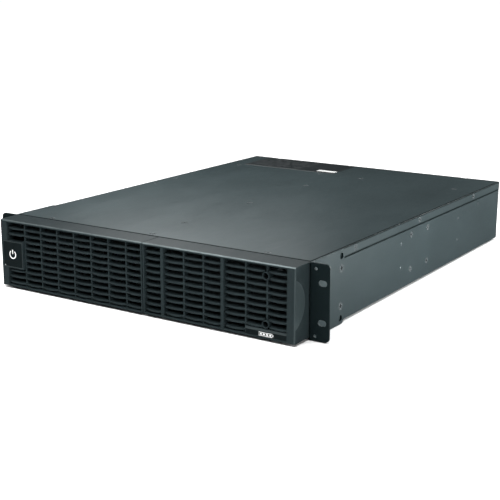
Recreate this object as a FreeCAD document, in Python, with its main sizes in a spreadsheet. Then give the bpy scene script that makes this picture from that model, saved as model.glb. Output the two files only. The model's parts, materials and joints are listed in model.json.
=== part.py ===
import FreeCAD, Part
import math
import operator
import os
import Sketcher

# A 2U rack-mount uninterruptible power supply, in millimetres.
# X runs to the right seen from the front, Y to the rear and Z up. The origin is under the middle
# of the whole unit, on the surface that its rubber feet stand on.

Vector = FreeCAD.Vector

DIMENSIONS = [
    ("ear_plane", -275, "Y of the front faces of the rack ears"),
    ("bezel_proud", 29, "how far the bezel stands in front of the ears"),
    ("bezel_depth", 32, "bezel, front to rear"),
    ("bezel_half", 215.7, "half of the bezel's width"),
    ("bezel_low", 2.8, "Z of the bezel's lower edge"),
    ("bezel_high", 88.2, "Z of the bezel's upper edge"),
    ("bezel_wall", 2.5, "moulded wall of the bezel"),
    ("bezel_seam", 10.4, "X of the joint between the two bezel sections"),
    ("bezel_gap", 0.25, "half of the gap at that joint"),
    ("grille_depth", 12, "bezel front to the back of the grille bars"),
    ("bar_recess", 3.2, "how far the thin bars lie behind the bezel front"),
    ("bar_width", 2, "a thin grille bar"),
    ("thick_bar", 3.8, "a thick grille bar"),
    ("strip_width", 10.2, "plain strip at each end of the bezel"),
    ("rail_low", 2.2, "frame below the grille"),
    ("rail_high", 2.8, "frame above the grille"),
    ("left_pitch", 26.9, "spacing of the bars in the left section"),
    ("left_first", -177.6, "X of the first bar in the left section"),
    ("thick_first", 38.7, "X of the right section's first thick bar, which carries two pegs"),
    ("slat_first", 7.7, "Z of the lowest slat"),
    ("slat_pitch", 7.8, "spacing of the slats"),
    ("slat_high", 2.2, "thickness of a slat"),
    ("slat_deep", 7, "depth of a slat"),
    ("slat_bulge", 2.4, "how far a slat bows forward between its bars"),
    ("badge_left", -212, "X of the badge"),
    ("badge_low", 27.7, "Z of the badge"),
    ("badge_wide", 32, "width of the badge"),
    ("badge_high", 33.3, "height of the badge"),
    ("badge_deep", 3, "thickness of the badge"),
    ("plate_left", 152.3, "X of the name plate"),
    ("plate_low", 5, "Z of the name plate"),
    ("plate_high", 8, "height of the name plate"),
    ("light_x", -210.8, "X of the status light"),
    ("light_z", 29.4, "Z of the status light"),
    ("light_rad", 0.8, "radius of the status light"),
    ("access_x", 178.2, "X of the two retaining screws"),
    ("access_upper", 73.5, "Z of the upper retaining screw"),
    ("access_lower", 19, "Z of the lower retaining screw"),
    ("access_rad", 3.5, "radius of the access holes"),
    ("access_rim", 4.5, "outer radius of their rims"),
    ("scoop_rad", 29.5, "radius of the finger scoop on the bezel's right side"),
    ("scoop_high", 46, "Z of the scoop's middle"),
    ("scoop_centre", 8.5, "how far the scoop's centre lies in front of the bezel"),
    ("scoop_deep", 2.6, "depth of the scoop at its lip"),
    ("peg_rad", 3, "radius of the bezel's mounting pegs"),
    ("peg_reach", 8, "how far the pegs stand behind the bezel"),
    ("peg_low", 15.5, "Z of the lower pegs"),
    ("peg_high", 70.1, "Z of the upper pegs"),
    ("running_fit", 0.1, "radial clearance round a turning or sliding part"),
    ("case_half", 216, "half of the case's width"),
    ("case_low", 2.5, "Z of the case's underside"),
    ("case_high", 88.5, "Z of the top cover"),
    ("case_rear", 295, "Y of the rear of the case"),
    ("rear_reach", 304, "Y of the rear-most thumb screws"),
    ("steel", 1.2, "sheet steel of the case"),
    ("cover_steel", 1, "sheet steel of the cover"),
    ("cover_seam", 75.9, "Z of the lower edge of the cover's flanges"),
    ("cover_fit", 0.15, "gap between the cover's flanges and the tray's walls"),
    ("cover_front", -271.6, "Y of the cover's front edge"),
    ("cover_bend", 1.4, "outer radius of the cover's bends"),
    ("panel_front", -269.4, "Y of the front panel"),
    ("drawer_face", -271.5, "Y of the battery drawer's front plate"),
    ("drawer_plate", 1.5, "thickness of the drawer's front plate"),
    ("ear_steel", 2.5, "steel of the rack ears"),
    ("ear_reach", 241.3, "half of the width over the ears"),
    ("ear_low", 0.5, "Z of the ears' lower edge"),
    ("ear_high", 88.4, "Z of the ears' upper edge"),
    ("ear_length", 75, "length of an ear's side flange"),
    ("ear_bend", 2.8, "outer radius of an ear's bend"),
    ("ear_corner", 5.5, "corner radius of an ear's front flange"),
    ("ear_rear_corner", 4, "corner radius of an ear's side flange"),
    ("slot_x", 232.55, "X of the rack slots, half of 465.1"),
    ("slot_low", 22.225, "Z of the lower rack slots"),
    ("slot_high", 66.675, "Z of the upper rack slots"),
    ("slot_half", 3.6, "half width of a rack slot"),
    ("slot_length", 10.5, "length of a rack slot"),
    ("small_x", 224, "X of the small ear holes"),
    ("small_low", 6.3, "Z of the lower small ear holes"),
    ("small_high", 82.1, "Z of the upper small ear holes"),
    ("small_rad", 2, "radius of the small ear holes"),
    ("ear_screw_back", 68.5, "ear plane to the ear screws"),
    ("ear_spare_rad", 3.9, "radius of the ears' empty side holes"),
    ("ear_spare_low", 7.4, "Z of the lower empty side holes"),
    ("ear_spare_high", 81, "Z of the upper empty side holes"),
    ("head_rad", 4, "radius of a case screw's head"),
    ("head_deep", 2.2, "depth of a case screw's head"),
    ("shank_rad", 1.9, "radius of a case screw's shank"),
    ("screw_length", 5.5, "length of a case screw"),
    ("sink_play", 0.15, "radial play of a head in its countersink"),
    ("ear_head_rad", 5, "radius of an ear screw's head"),
    ("ear_head_deep", 2.3, "depth of an ear screw's head"),
    ("ear_shank_rad", 2.4, "radius of an ear screw's shank"),
    ("ear_screw_length", 6, "length of an ear screw"),
    ("foot_rad", 8, "radius of a rubber foot"),
    ("foot_x", 190, "X of the rubber feet"),
    ("foot_y", 245, "Y of the rubber feet"),
    ("bay_left", 12, "X of the battery bay's left wall"),
    ("bay_right", 176, "X of the battery bay's right wall"),
    ("bay_rear", 150, "Y of the battery bay's rear wall"),
    ("bay_high", 84, "Z of the battery bay's upper edge"),
    ("nut_room", 10, "front panel to the bay's right wall, where the nuts are"),
    ("door_left", 15.2, "X of the left edge of the opening for the drawer"),
    ("door_right", 172.8, "X of the right edge of that opening"),
    ("door_low", 4.4, "Z of the lower edge of that opening"),
    ("door_high", 80, "Z of the upper edge of that opening"),
    ("tray_left", 17, "X of the drawer tray"),
    ("tray_right", 171, "X of the drawer tray's right side"),
    ("tray_low", 5.2, "Z of the drawer tray's underside"),
    ("tray_high", 58, "Z of the drawer tray's upper edge"),
    ("tray_rear", 144, "Y of the drawer tray's rear"),
    ("battery_long", 151, "battery case, longest side"),
    ("battery_wide", 65, "battery case, shortest side"),
    ("battery_tall", 94, "battery case, height without its terminals"),
    ("battery_pitch", 102, "spacing of the batteries along the drawer"),
    ("battery_start", -267, "Y of the first battery"),
    ("battery_count", 4, "batteries in the drawer"),
    ("fan_x", 172, "X of the fans"),
    ("fan_z", 45.5, "Z of the fans"),
    ("fan_size", 80, "side of a fan frame"),
    ("fan_deep", 25, "depth of a fan frame"),
    ("fan_bore", 38, "radius of a fan's bore"),
    ("fan_hole", 35.75, "fan centre to its screw holes, along X and Z"),
    ("blade_rad", 36.3, "radius over the fan's blades"),
    ("hub_rad", 17.5, "radius of the fan's hub"),
    ("board_left", -208, "X of the main circuit board"),
    ("board_right", 6, "X of the main circuit board's right edge"),
    ("board_front", -258, "Y of the main circuit board"),
    ("board_rear", 190, "Y of the main circuit board's rear edge"),
    ("board_low", 10, "Z of the main circuit board"),
    ("board_thick", 1.6, "thickness of a circuit board"),
    ("core_front", 175, "Y of the front of the transformer's core"),
    ("core_rear", 249, "Y of the rear of the transformer's core"),
    ("outlet_pitch", 36, "spacing of the outlets along X"),
    ("outlet_row", 36, "spacing of the outlets along Z"),
    ("outlet_x", -104, "X of the first outlet"),
    ("outlet_z", 28, "Z of the lower outlets"),
    ("outlet_half_wide", 14, "half width of an outlet's body"),
    ("outlet_half_high", 10, "half height of an outlet's body"),
    ("fitting_play", 0.1, "play of a rear fitting in its hole"),
    ("inlet_x", 110, "X of the power inlet and the battery connector"),
    ("inlet_z", 27, "Z of the power inlet"),
    ("inlet_half_wide", 15, "half width of the inlet's body"),
    ("inlet_half_high", 11, "half height of the inlet's body"),
    ("pack_z", 66, "Z of the external battery connector"),
    ("pack_half_wide", 16, "half width of the battery connector's body"),
    ("pack_half_high", 9, "half height of the battery connector's body"),
    ("breaker_x", 78, "X of the breakers and the switch"),
    ("breaker_upper", 72, "Z of the input breaker"),
    ("breaker_lower", 48, "Z of the output breaker"),
    ("button_rad", 4, "radius of a breaker's reset button"),
    ("breaker_neck", 6.5, "radius of a breaker's threaded neck"),
    ("switch_z", 19, "Z of the rocker switch"),
    ("switch_half_wide", 6.5, "half width of the switch's body"),
    ("switch_half_high", 10, "half height of the switch's body"),
    ("rocker_pin", 1.2, "radius of the rocker's pivot pin"),
    ("rocker_tilt", 9, "tilt of the rocker at rest, in degrees"),
    ("port_z", 27, "Z of the data ports"),
    ("serial_x", 10, "X of the serial port's shell"),
    ("data_x", 37, "X of the data socket"),
    ("data_half", 6, "half width and half height of the data socket"),
    ("stop_x", 58, "X of the emergency-off terminal"),
    ("stop_half_wide", 7, "half width of the emergency-off terminal"),
    ("stop_half_high", 5, "half height of the emergency-off terminal"),
    ("card_left", 3, "X of the card slot"),
    ("card_right", 53, "X of the card slot's right end"),
    ("card_z", 64, "Z of the middle of the card slot"),
    ("card_half_high", 10, "half height of the card slot"),
    ("thumb_out", 5, "card slot's ends to its thumb screws"),
]


class Length:
    """A size that carries both its value and the spreadsheet formula that it comes from."""

    def __init__(self, value, formula):
        self.value = value
        self.formula = formula

    def __add__(self, other):
        return combine(self, "+", other)

    def __radd__(self, other):
        return combine(other, "+", self)

    def __sub__(self, other):
        return combine(self, "-", other)

    def __rsub__(self, other):
        return combine(other, "-", self)

    def __mul__(self, other):
        return combine(self, "*", other)

    def __rmul__(self, other):
        return combine(other, "*", self)

    def __truediv__(self, other):
        return combine(self, "/", other)

    def __neg__(self):
        return combine(0, "-", self)


OPERATIONS = {"+": operator.add, "-": operator.sub, "*": operator.mul, "/": operator.truediv}


def as_length(item):
    """A plain number as a Length; a Length stays as it is."""
    if isinstance(item, Length):
        return item
    return Length(float(item), f"({float(item)})")


def combine(left, sign, right):
    """The sum, difference, product or quotient of two sizes, as a value and as a formula."""
    left, right = as_length(left), as_length(right)
    value = OPERATIONS[sign](left.value, right.value)
    return Length(value, f"({left.formula} {sign} {right.formula})")


class Sizes:
    """The spreadsheet's cells, by alias."""


doc = FreeCAD.newDocument("uninterruptible_power_supply")
sheet = doc.addObject("Spreadsheet::Sheet", "Sheet")
size = Sizes()
for row, (alias, value, note) in enumerate(DIMENSIONS, start=1):
    sheet.set(f"A{row}", note)
    sheet.set(f"B{row}", str(value))
    sheet.setAlias(f"B{row}", alias)
    setattr(size, alias, Length(float(value), f"Sheet.{alias}"))
doc.recompute()

nodes = []
TURNS = {
    "X": FreeCAD.Rotation(Vector(0, 1, 0), 90),
    "-X": FreeCAD.Rotation(Vector(0, 1, 0), -90),
    "Y": FreeCAD.Rotation(Vector(1, 0, 0), -90),
    "-Y": FreeCAD.Rotation(Vector(1, 0, 0), 90),
    "Z": FreeCAD.Rotation(),
    "-Z": FreeCAD.Rotation(Vector(1, 0, 0), 180),
}


# ---------------------------------------------------------------- helpers


def bind(item, prop, amount):
    """Binds one property of a document object to a size."""
    item.setExpression(prop, as_length(amount).formula)


def place(item, where, turn="Z"):
    """Puts an object at a point whose coordinates are sizes."""
    item.Placement = FreeCAD.Placement(Vector(), TURNS[turn])
    for axis, amount in zip("xyz", where):
        bind(item, f"Placement.Base.{axis}", amount)
    return item


def box(name, low, high):
    """A box between its lowest and its highest corner."""
    item = doc.addObject("Part::Box", name)
    for prop, start, end in zip(("Length", "Width", "Height"), low, high):
        bind(item, prop, as_length(end) - start)
    return place(item, low)


def cylinder(name, axis, start, length, radius):
    """A cylinder from the middle of one end face, along an axis."""
    item = doc.addObject("Part::Cylinder", name)
    bind(item, "Height", length)
    bind(item, "Radius", radius)
    return place(item, start, axis)


def cone(name, axis, start, length, first_radius, last_radius):
    """A cut-off cone from the middle of its first face, along an axis."""
    item = doc.addObject("Part::Cone", name)
    bind(item, "Height", length)
    bind(item, "Radius1", first_radius)
    bind(item, "Radius2", last_radius)
    return place(item, start, axis)


def prism(name, axis, start, length, radius):
    """A hexagonal prism over its corners' radius, along an axis."""
    item = doc.addObject("Part::Prism", name)
    item.Polygon = 6
    bind(item, "Height", length)
    bind(item, "Circumradius", radius)
    return place(item, start, axis)


def fuse(name, items):
    """One solid out of several that touch."""
    item = doc.addObject("Part::MultiFuse", name)
    item.Shapes = items
    item.Refine = True
    return item


def group(name, items):
    """Separate solids in one object."""
    item = doc.addObject("Part::Compound", name)
    item.Links = items
    return item


def cut(name, base, tools):
    """A base with tools taken out of it."""
    item = doc.addObject("Part::Cut", name)
    item.Base = base
    item.Tool = tools[0] if len(tools) == 1 else group(f"{name}_tools", tools)
    return item


def common(name, items):
    """What several solids share."""
    item = doc.addObject("Part::MultiCommon", name)
    item.Shapes = items
    return item


def mirrored(name, source):
    """The mirror image of an object across the unit's middle plane."""
    item = doc.addObject("Part::Mirroring", name)
    item.Source = source
    item.Normal = (1, 0, 0)
    return item


def copy_of(name, master, where, turn="Z"):
    """Another one of a piece, moved and turned."""
    item = doc.addObject("App::Link", name)
    item.LinkedObject = master
    return place(item, where, turn)


def copies(name, master, places):
    """The same piece at several places, each a point and a turn."""
    return group(name, [copy_of(f"{name}_{i}", master, p, t) for i, (p, t) in enumerate(places, 1)])


def node(label, item):
    """Names an object as one of the unit's pieces."""
    item.Label = label
    nodes.append(item)
    return item


def body(name):
    return doc.addObject("PartDesign::Body", name)


def sketch(owner, name, role, offset=0):
    """A sketch on one of the body's own origin planes, moved along the plane's normal."""
    item = owner.newObject("Sketcher::SketchObject", name)
    plane = next(f for f in owner.Origin.OriginFeatures if f.Role == role)
    item.AttachmentSupport = [(plane, "")]
    item.MapMode = "FlatFace"
    bind(item, "AttachmentOffset.Base.z", offset)
    return item


def hold(item, kind, geometry, point, amount):
    """Ties one coordinate of a sketch point to a size."""
    amount = as_length(amount)
    index = item.addConstraint(Sketcher.Constraint(kind, -1, 1, geometry, point, amount.value))
    item.setExpression(f"Constraints[{index}]", amount.formula)


def hold_point(item, geometry, point, corner):
    """Ties both coordinates of a sketch point to sizes."""
    hold(item, "DistanceX", geometry, point, corner[0])
    hold(item, "DistanceY", geometry, point, corner[1])


def flat(corner):
    """A sketch corner, given as sizes, as a plain vector."""
    return Vector(as_length(corner[0]).value, as_length(corner[1]).value, 0)


def outline(item, corners):
    """A closed polygon through corners given as pairs of sizes."""
    first = item.GeometryCount
    count = len(corners)
    for i in range(count):
        item.addGeometry(Part.LineSegment(flat(corners[i]), flat(corners[(i + 1) % count])))
    for i in range(count):
        item.addConstraint(Sketcher.Constraint("Coincident", first + i, 2, first + (i + 1) % count, 1))
    for i, corner in enumerate(corners):
        hold_point(item, first + i, 1, corner)


def rectangle(item, low, high):
    outline(item, [low, (high[0], low[1]), high, (low[0], high[1])])


def circle(item, centre, radius):
    radius = as_length(radius)
    geometry = item.addGeometry(Part.Circle(flat(centre), Vector(0, 0, 1), radius.value))
    hold_point(item, geometry, 3, centre)
    index = item.addConstraint(Sketcher.Constraint("Radius", geometry, radius.value))
    item.setExpression(f"Constraints[{index}]", radius.formula)


def bowed_strip(item, left, right, front, depth, bulge):
    """A strip across two bars whose front and rear edges bow forward between them."""
    half = (right.value - left.value) / 2
    radius = (half * half / bulge.value + bulge.value) / 2
    middle = (left.value + right.value) / 2
    for edge in (front.value, front.value + depth.value):
        ends = Vector(left.value, edge, 0), Vector(right.value, edge, 0)
        item.addGeometry(Part.Arc(ends[0], Vector(middle, edge - bulge.value, 0), ends[1]))
    front_arc = item.GeometryCount - 2
    rear_arc = front_arc + 1
    left_line = item.addGeometry(Part.LineSegment(flat((left, front)), flat((left, front + depth))))
    right_line = item.addGeometry(Part.LineSegment(flat((right, front)), flat((right, front + depth))))
    for arc, end in ((front_arc, 1), (rear_arc, 2)):
        for line in (left_line, right_line):
            x = left.value if line == left_line else right.value
            near_start = abs(item.getPoint(arc, 1).x - x) < 1e-6
            item.addConstraint(Sketcher.Constraint("Coincident", arc, 1 if near_start else 2, line, end))
    for line, x in ((left_line, left), (right_line, right)):
        hold_point(item, line, 1, (x, front))
        hold_point(item, line, 2, (x, front + depth))
    for arc in (front_arc, rear_arc):
        item.addConstraint(Sketcher.Constraint("Radius", arc, radius))


def pad(owner, profile, length, forward=True):
    """Thickens a sketch along its normal, or against it."""
    item = owner.newObject("PartDesign::Pad", f"{profile.Name}_pad")
    item.Profile = profile
    item.Reversed = not forward
    bind(item, "Length", length)
    return item


def pocket(owner, profile, length, along=False):
    """Cuts a sketch into the body, against its normal, or along it."""
    item = owner.newObject("PartDesign::Pocket", f"{profile.Name}_pocket")
    item.Profile = profile
    item.Reversed = along
    bind(item, "Length", length)
    return item


def repeat(owner, feature, role, length, count):
    """Repeats a feature along one of the body's axes, over a length."""
    item = owner.newObject("PartDesign::LinearPattern", f"{feature.Name}_row")
    item.Originals = [feature]
    axis = next(f for f in owner.Origin.OriginFeatures if f.Role == role)
    item.Direction = (axis, [""])
    item.Occurrences = count
    bind(item, "Length", length)
    owner.Tip = item
    return item


def edges_where(item, test):
    """Names of the edges whose bounding box passes a test."""
    return [f"Edge{i}" for i, edge in enumerate(item.Shape.Edges, 1) if test(edge.BoundBox)]


def rounded(owner, name, radius, test):
    """Rounds the edges of the body's last feature that pass a test."""
    doc.recompute()
    base = owner.Tip
    item = owner.newObject("PartDesign::Fillet", name)
    item.Base = (base, edges_where(base, test))
    bind(item, "Radius", radius)
    return item


def near(amount, other, reach=0.02):
    return abs(amount - as_length(other).value) < reach


def tube(name, points, radius, bend):
    """A round lead along straight runs joined by tangent arcs of one radius."""
    corners = [Vector(*(as_length(c).value for c in point)) for point in points]
    edges = []
    start = corners[0]
    for before, corner, after in zip(corners, corners[1:], corners[2:]):
        inward = (corner - before).normalize()
        outward = (after - corner).normalize()
        reach = bend * math.tan(inward.getAngle(outward) / 2)
        first = corner - inward * reach
        last = corner + outward * reach
        towards = (outward - inward).normalize()
        sag = bend / math.cos(inward.getAngle(outward) / 2) - bend
        edges.append(Part.LineSegment(start, first).toShape())
        edges.append(Part.Arc(first, corner + towards * sag, last).toShape())
        start = last
    edges.append(Part.LineSegment(start, corners[-1]).toShape())
    route = Part.Wire(edges)
    along = (corners[1] - corners[0]).normalize()
    section = Part.Wire([Part.Circle(corners[0], along, radius).toShape()])
    item = doc.addObject("Part::Feature", name)
    item.Shape = route.makePipeShell([section], True, True)
    item.Placement = FreeCAD.Placement()
    return item


# ---------------------------------------------------------------- shared places

front = size.ear_plane - size.bezel_proud
bezel_rear = front + size.bezel_depth
ear_rear = size.ear_plane + size.ear_length
ear_outside = size.case_half + size.ear_steel
floor_top = size.case_low + size.steel
upper_wall = size.case_half - size.cover_steel - size.cover_fit
cover_inside = size.case_high - size.cover_steel
panel_inside = size.case_rear - size.steel


# ---------------------------------------------------------------- fasteners


CASE_SCREW = (size.head_rad, size.head_deep, size.shank_rad, size.screw_length)
EAR_SCREW = (size.ear_head_rad, size.ear_head_deep, size.ear_shank_rad, size.ear_screw_length)


def countersunk_screw(name, kind):
    """A countersunk screw with a cross recess: its head is flush with z = 0 and it points down."""
    head_radius, head_deep, shank_radius, length = kind
    head = cone(f"{name}_head", "-Z", (0, 0, 0), head_deep, head_radius, shank_radius)
    shank = cylinder(f"{name}_shank", "-Z", (0, 0, 0), length, shank_radius)
    arm = head_radius * 0.55
    thin = head_radius * 0.13
    deep = -head_deep * 0.7
    slots = [
        box(f"{name}_slot_x", (-arm, -thin, deep), (arm, thin, 1)),
        box(f"{name}_slot_y", (-thin, -arm, deep), (thin, arm, 1)),
    ]
    return cut(name, fuse(f"{name}_blank", [head, shank]), slots)


def countersinks(name, places, kind):
    """The holes that countersunk screws sit in."""
    head_radius, head_deep, shank_radius, length = kind
    rim = head_radius + size.sink_play
    neck = shank_radius + size.sink_play
    tools = []
    for i, (where, turn) in enumerate(places, 1):
        inward = turn[1:] if turn.startswith("-") else f"-{turn}"
        tools.append(cone(f"{name}_sink_{i}", inward, where, head_deep, rim, neck))
        tools.append(cylinder(f"{name}_hole_{i}", inward, where, length + 1, neck))
    return tools


def pan_screw(name, head_radius, head_high, shank_radius, length):
    """A pan-head screw with a cross recess: its head stands on z = 0 and it points down."""
    head = cone(f"{name}_head", "Z", (0, 0, 0), head_high, head_radius, head_radius * 0.8)
    shank = cylinder(f"{name}_shank", "-Z", (0, 0, 0), length, shank_radius)
    arm = head_radius * 0.5
    thin = head_radius * 0.13
    slots = [
        box(f"{name}_slot_x", (-arm, -thin, head_high * 0.4), (arm, thin, head_high + 1)),
        box(f"{name}_slot_y", (-thin, -arm, head_high * 0.4), (thin, arm, head_high + 1)),
    ]
    return cut(name, fuse(f"{name}_blank", [head, shank]), slots)


case_screw = countersunk_screw("case_screw", CASE_SCREW)
ear_screw = countersunk_screw("ear_screw", EAR_SCREW)
case_high = size.case_high

cover_top_places = [
    ((x, size.ear_plane + back, case_high), "Z")
    for x, back in (
        (-163.6, 9.4), (-5, 11.9), (157, 10.3), (-9.2, 81), (-9.2, 230.5), (-9.2, 380.7),
        (-203, 274), (-203, 322), (-189, 476.5), (-39.7, 476.5), (31.8, 476.5), (183, 476.5),
    )
]
cover_side_places = [
    ((size.case_half * side, size.ear_plane + back, 82.8), "X" if side > 0 else "-X")
    for side in (1, -1)
    for back in (107, 285, 468)
]
side_wall_places = [
    ((size.case_half * side, size.ear_plane + back, high), "X" if side > 0 else "-X")
    for side in (1, -1)
    for back in (260.5, 311)
    for high in (67.6, 22.9)
]
ear_screw_places = [
    ((ear_outside * side, size.ear_plane + size.ear_screw_back, high), "X" if side > 0 else "-X")
    for side in (1, -1)
    for high in (size.slot_high, size.slot_low)
]


# ---------------------------------------------------------------- case


def make_base_tray():
    """The folded steel tray: a floor and two side walls, joggled inward under the cover's flanges."""
    owner = body("base_tray_body")
    low, high = size.case_low, size.case_high - size.cover_steel - 0.8
    step = size.cover_seam - 0.3
    wall = size.steel
    outer = size.case_half
    inner = outer - wall
    right = [
        (outer, low), (outer, step), (upper_wall, step), (upper_wall, high),
        (upper_wall - wall, high), (upper_wall - wall, step - wall), (inner, step - wall),
        (inner, low + wall),
    ]
    left = [(-x, z) for x, z in reversed(right)]
    profile = sketch(owner, "tray_profile", "XZ_Plane", -size.cover_front)
    outline(profile, right + left)
    pad(owner, profile, size.case_rear - size.steel - 0.2 - size.cover_front, forward=False)
    rounded(owner, "tray_bends", 1.1, lambda b: near(b.ZMax, low) and b.YLength > 100
            and near(abs(b.XMin), outer))
    tools = countersinks("tray_side", side_wall_places + cover_side_places, CASE_SCREW)
    for i, (where, turn) in enumerate(ear_screw_places, 1):
        inward = "-X" if turn == "X" else "X"
        tools.append(cylinder(f"tray_tap_{i}", inward, where, 9, size.ear_shank_rad + 0.1))
    for i, (x, y, z) in enumerate(rivet_places(), 1):
        side = "-X" if x.value > 0 else "X"
        tools.append(cylinder(f"tray_rivet_hole_{i}", side, (x, y, z), 3, 1.3))
    node("base_tray", cut("base_tray", owner, tools))


def rivet_places():
    """The blind rivets that hold the inner brackets to the side walls."""
    return [
        (size.case_half * side, size.ear_plane + back, as_length(high))
        for side in (1, -1)
        for back, high in ((231.5, 60.7), (231.5, 30.2), (414.6, 60.4), (414.6, 30), (487.6, 68.4))
    ]


def make_side_rivets():
    """Blind rivets, each a low head and a stem."""
    rivet = fuse("rivet", [
        cone("rivet_head", "Z", (0, 0, 0), 0.25, 1.7, 1.2),
        cylinder("rivet_stem", "-Z", (0, 0, 0), 2.4, 1.2),
    ])
    places = [(where, "X" if where[0].value > 0 else "-X") for where in rivet_places()]
    node("side_rivets", copies("side_rivets", rivet, places))


def make_top_cover():
    """The cover: a flat top with a short flange down each side and two notches in its rear edge."""
    owner = body("top_cover_body")
    wall = size.cover_steel
    outer = size.case_half
    high = size.case_high
    profile = sketch(owner, "cover_profile", "XZ_Plane", -size.cover_front)
    outline(profile, [
        (-outer, size.cover_seam), (wall - outer, size.cover_seam), (wall - outer, high - wall),
        (outer - wall, high - wall), (outer - wall, size.cover_seam), (outer, size.cover_seam),
        (outer, high), (-outer, high),
    ])
    pad(owner, profile, size.case_rear - size.cover_front, forward=False)
    notches = sketch(owner, "cover_notches", "XY_Plane", high)
    for x in (-169, 160):
        rectangle(notches, (x - 4, size.case_rear - 1.8), (x + 4, size.case_rear + 1))
    pocket(owner, notches, 3)
    rounded(owner, "cover_bends", size.cover_bend, lambda b: near(b.ZMax, high) and b.YLength > 100
            and near(abs(b.XMin), outer))
    tools = countersinks("cover", cover_top_places + cover_side_places, CASE_SCREW)
    node("top_cover", cut("top_cover", owner, tools))


def make_front_panel():
    """The steel panel behind the bezel, with air slots on the left and the drawer's opening."""
    owner = body("front_panel_body")
    back = size.panel_front
    outline_sketch = sketch(owner, "panel_outline", "XZ_Plane", -back)
    edge = upper_wall - size.steel - 0.1
    rectangle(outline_sketch, (-edge, floor_top), (edge, cover_inside - 1))
    pad(owner, outline_sketch, size.steel, forward=False)
    door = sketch(owner, "panel_door", "XZ_Plane", -back)
    rectangle(door, (size.door_left, size.door_low), (size.door_right, size.door_high))
    for high in (size.access_upper, size.access_lower):
        circle(door, (size.access_x, high), 2.8)
    for high in (size.peg_low, size.peg_high):
        for x in (size.left_first + size.left_pitch, size.left_first + size.left_pitch * 6):
            circle(door, (x, high), size.peg_rad + 0.3)
    pocket(owner, door, size.steel)
    slot = sketch(owner, "panel_air_slot", "XZ_Plane", -back)
    rectangle(slot, (-202, 22), (-194, 64))
    slots = pocket(owner, slot, size.steel)
    repeat(owner, slots, "X_Axis", 196, 15)
    node("front_panel", owner)


def right_peg_x():
    """X of the right bezel section's outer pegs, beside its end wall."""
    return size.bezel_half - size.bezel_wall - size.peg_rad - 0.4


def make_rear_panel():
    """The rear panel: a plate with a short rim down each side, cut out for the fittings."""
    owner = body("rear_panel_body")
    plate = sketch(owner, "rear_outline", "XZ_Plane", -panel_inside)
    outer = size.case_half
    edge = size.case_half - size.cover_steel - size.cover_fit
    step = size.cover_seam - 0.3
    outline(plate, [
        (-outer, size.case_low), (outer, size.case_low), (outer, step), (edge, step),
        (edge, cover_inside - 0.1), (-edge, cover_inside - 0.1), (-edge, step), (-outer, step),
    ])
    pad(owner, plate, size.steel, forward=False)
    holes = sketch(owner, "rear_holes", "XZ_Plane", -panel_inside)
    for side in (-1, 1):
        circle(holes, (size.fan_x * side, size.fan_z), size.fan_bore)
        for x_way in (-1, 1):
            for z_way in (-1, 1):
                centre = (size.fan_x * side + size.fan_hole * x_way, size.fan_z + size.fan_hole * z_way)
                circle(holes, centre, 2.2)
    play = size.fitting_play
    for x, z in outlet_places():
        window(holes, (x, z), size.outlet_half_wide + play, size.outlet_half_high + play)
    window(holes, (size.inlet_x, size.inlet_z), size.inlet_half_wide + play, size.inlet_half_high + play)
    window(holes, (size.inlet_x, size.pack_z), size.pack_half_wide + play, size.pack_half_high + play)
    for high in (size.breaker_upper, size.breaker_lower):
        circle(holes, (size.breaker_x, high), size.breaker_neck + 0.6)
    window(holes, (size.breaker_x, size.switch_z), size.switch_half_wide + play, size.switch_half_high + play)
    window(holes, (size.serial_x, size.port_z), 9, 5.1)
    window(holes, (size.data_x, size.port_z), size.data_half + play, size.data_half + play)
    window(holes, (size.stop_x, size.port_z), size.stop_half_wide + play, size.stop_half_high + play)
    card = size.card_z - size.card_half_high, size.card_z + size.card_half_high
    rectangle(holes, (size.card_left, card[0]), (size.card_right, card[1]))
    for x in (size.card_left - size.thumb_out, size.card_right + size.thumb_out):
        circle(holes, (x, size.card_z), 2.1)
    pocket(owner, holes, size.steel)
    node("rear_panel", owner)


def window(item, centre, half_wide, half_high):
    """A rectangular hole about its middle."""
    x, z = centre
    rectangle(item, (x - half_wide, z - half_high), (x + half_wide, z + half_high))


def outlet_places():
    """X and Z of the six outlets."""
    return [
        (size.outlet_x + size.outlet_pitch * column, size.outlet_z + size.outlet_row * line)
        for line in range(2)
        for column in range(3)
    ]


def make_battery_bay():
    """The folded wall round the battery drawer, with an opening for its connector."""
    owner = body("battery_bay_body")
    wall = size.steel
    start = size.panel_front + size.steel
    profile = sketch(owner, "bay_profile", "XY_Plane", floor_top)
    left, right, rear = size.bay_left, size.bay_right, size.bay_rear
    clear = start + size.nut_room
    outline(profile, [
        (left, start), (left + wall, start), (left + wall, rear - wall), (right - wall, rear - wall),
        (right - wall, clear), (right, clear), (right, rear), (left, rear),
    ])
    pad(owner, profile, size.bay_high - floor_top)
    opening = sketch(owner, "bay_opening", "XZ_Plane", -(rear - wall - 1))
    rectangle(opening, (70, 24), (118, 52))
    pocket(owner, opening, wall + 2)
    node("battery_bay", owner)


def make_drawer_guides():
    """Two slippery strips on the floor that the drawer runs on."""
    strips = [
        box(f"guide_{i}", (x, size.panel_front + 4, floor_top), (x + 12, size.bay_rear - 4, floor_top + 1.2))
        for i, x in enumerate((26, 150), 1)
    ]
    node("drawer_guides", group("drawer_guides", strips))


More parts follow.
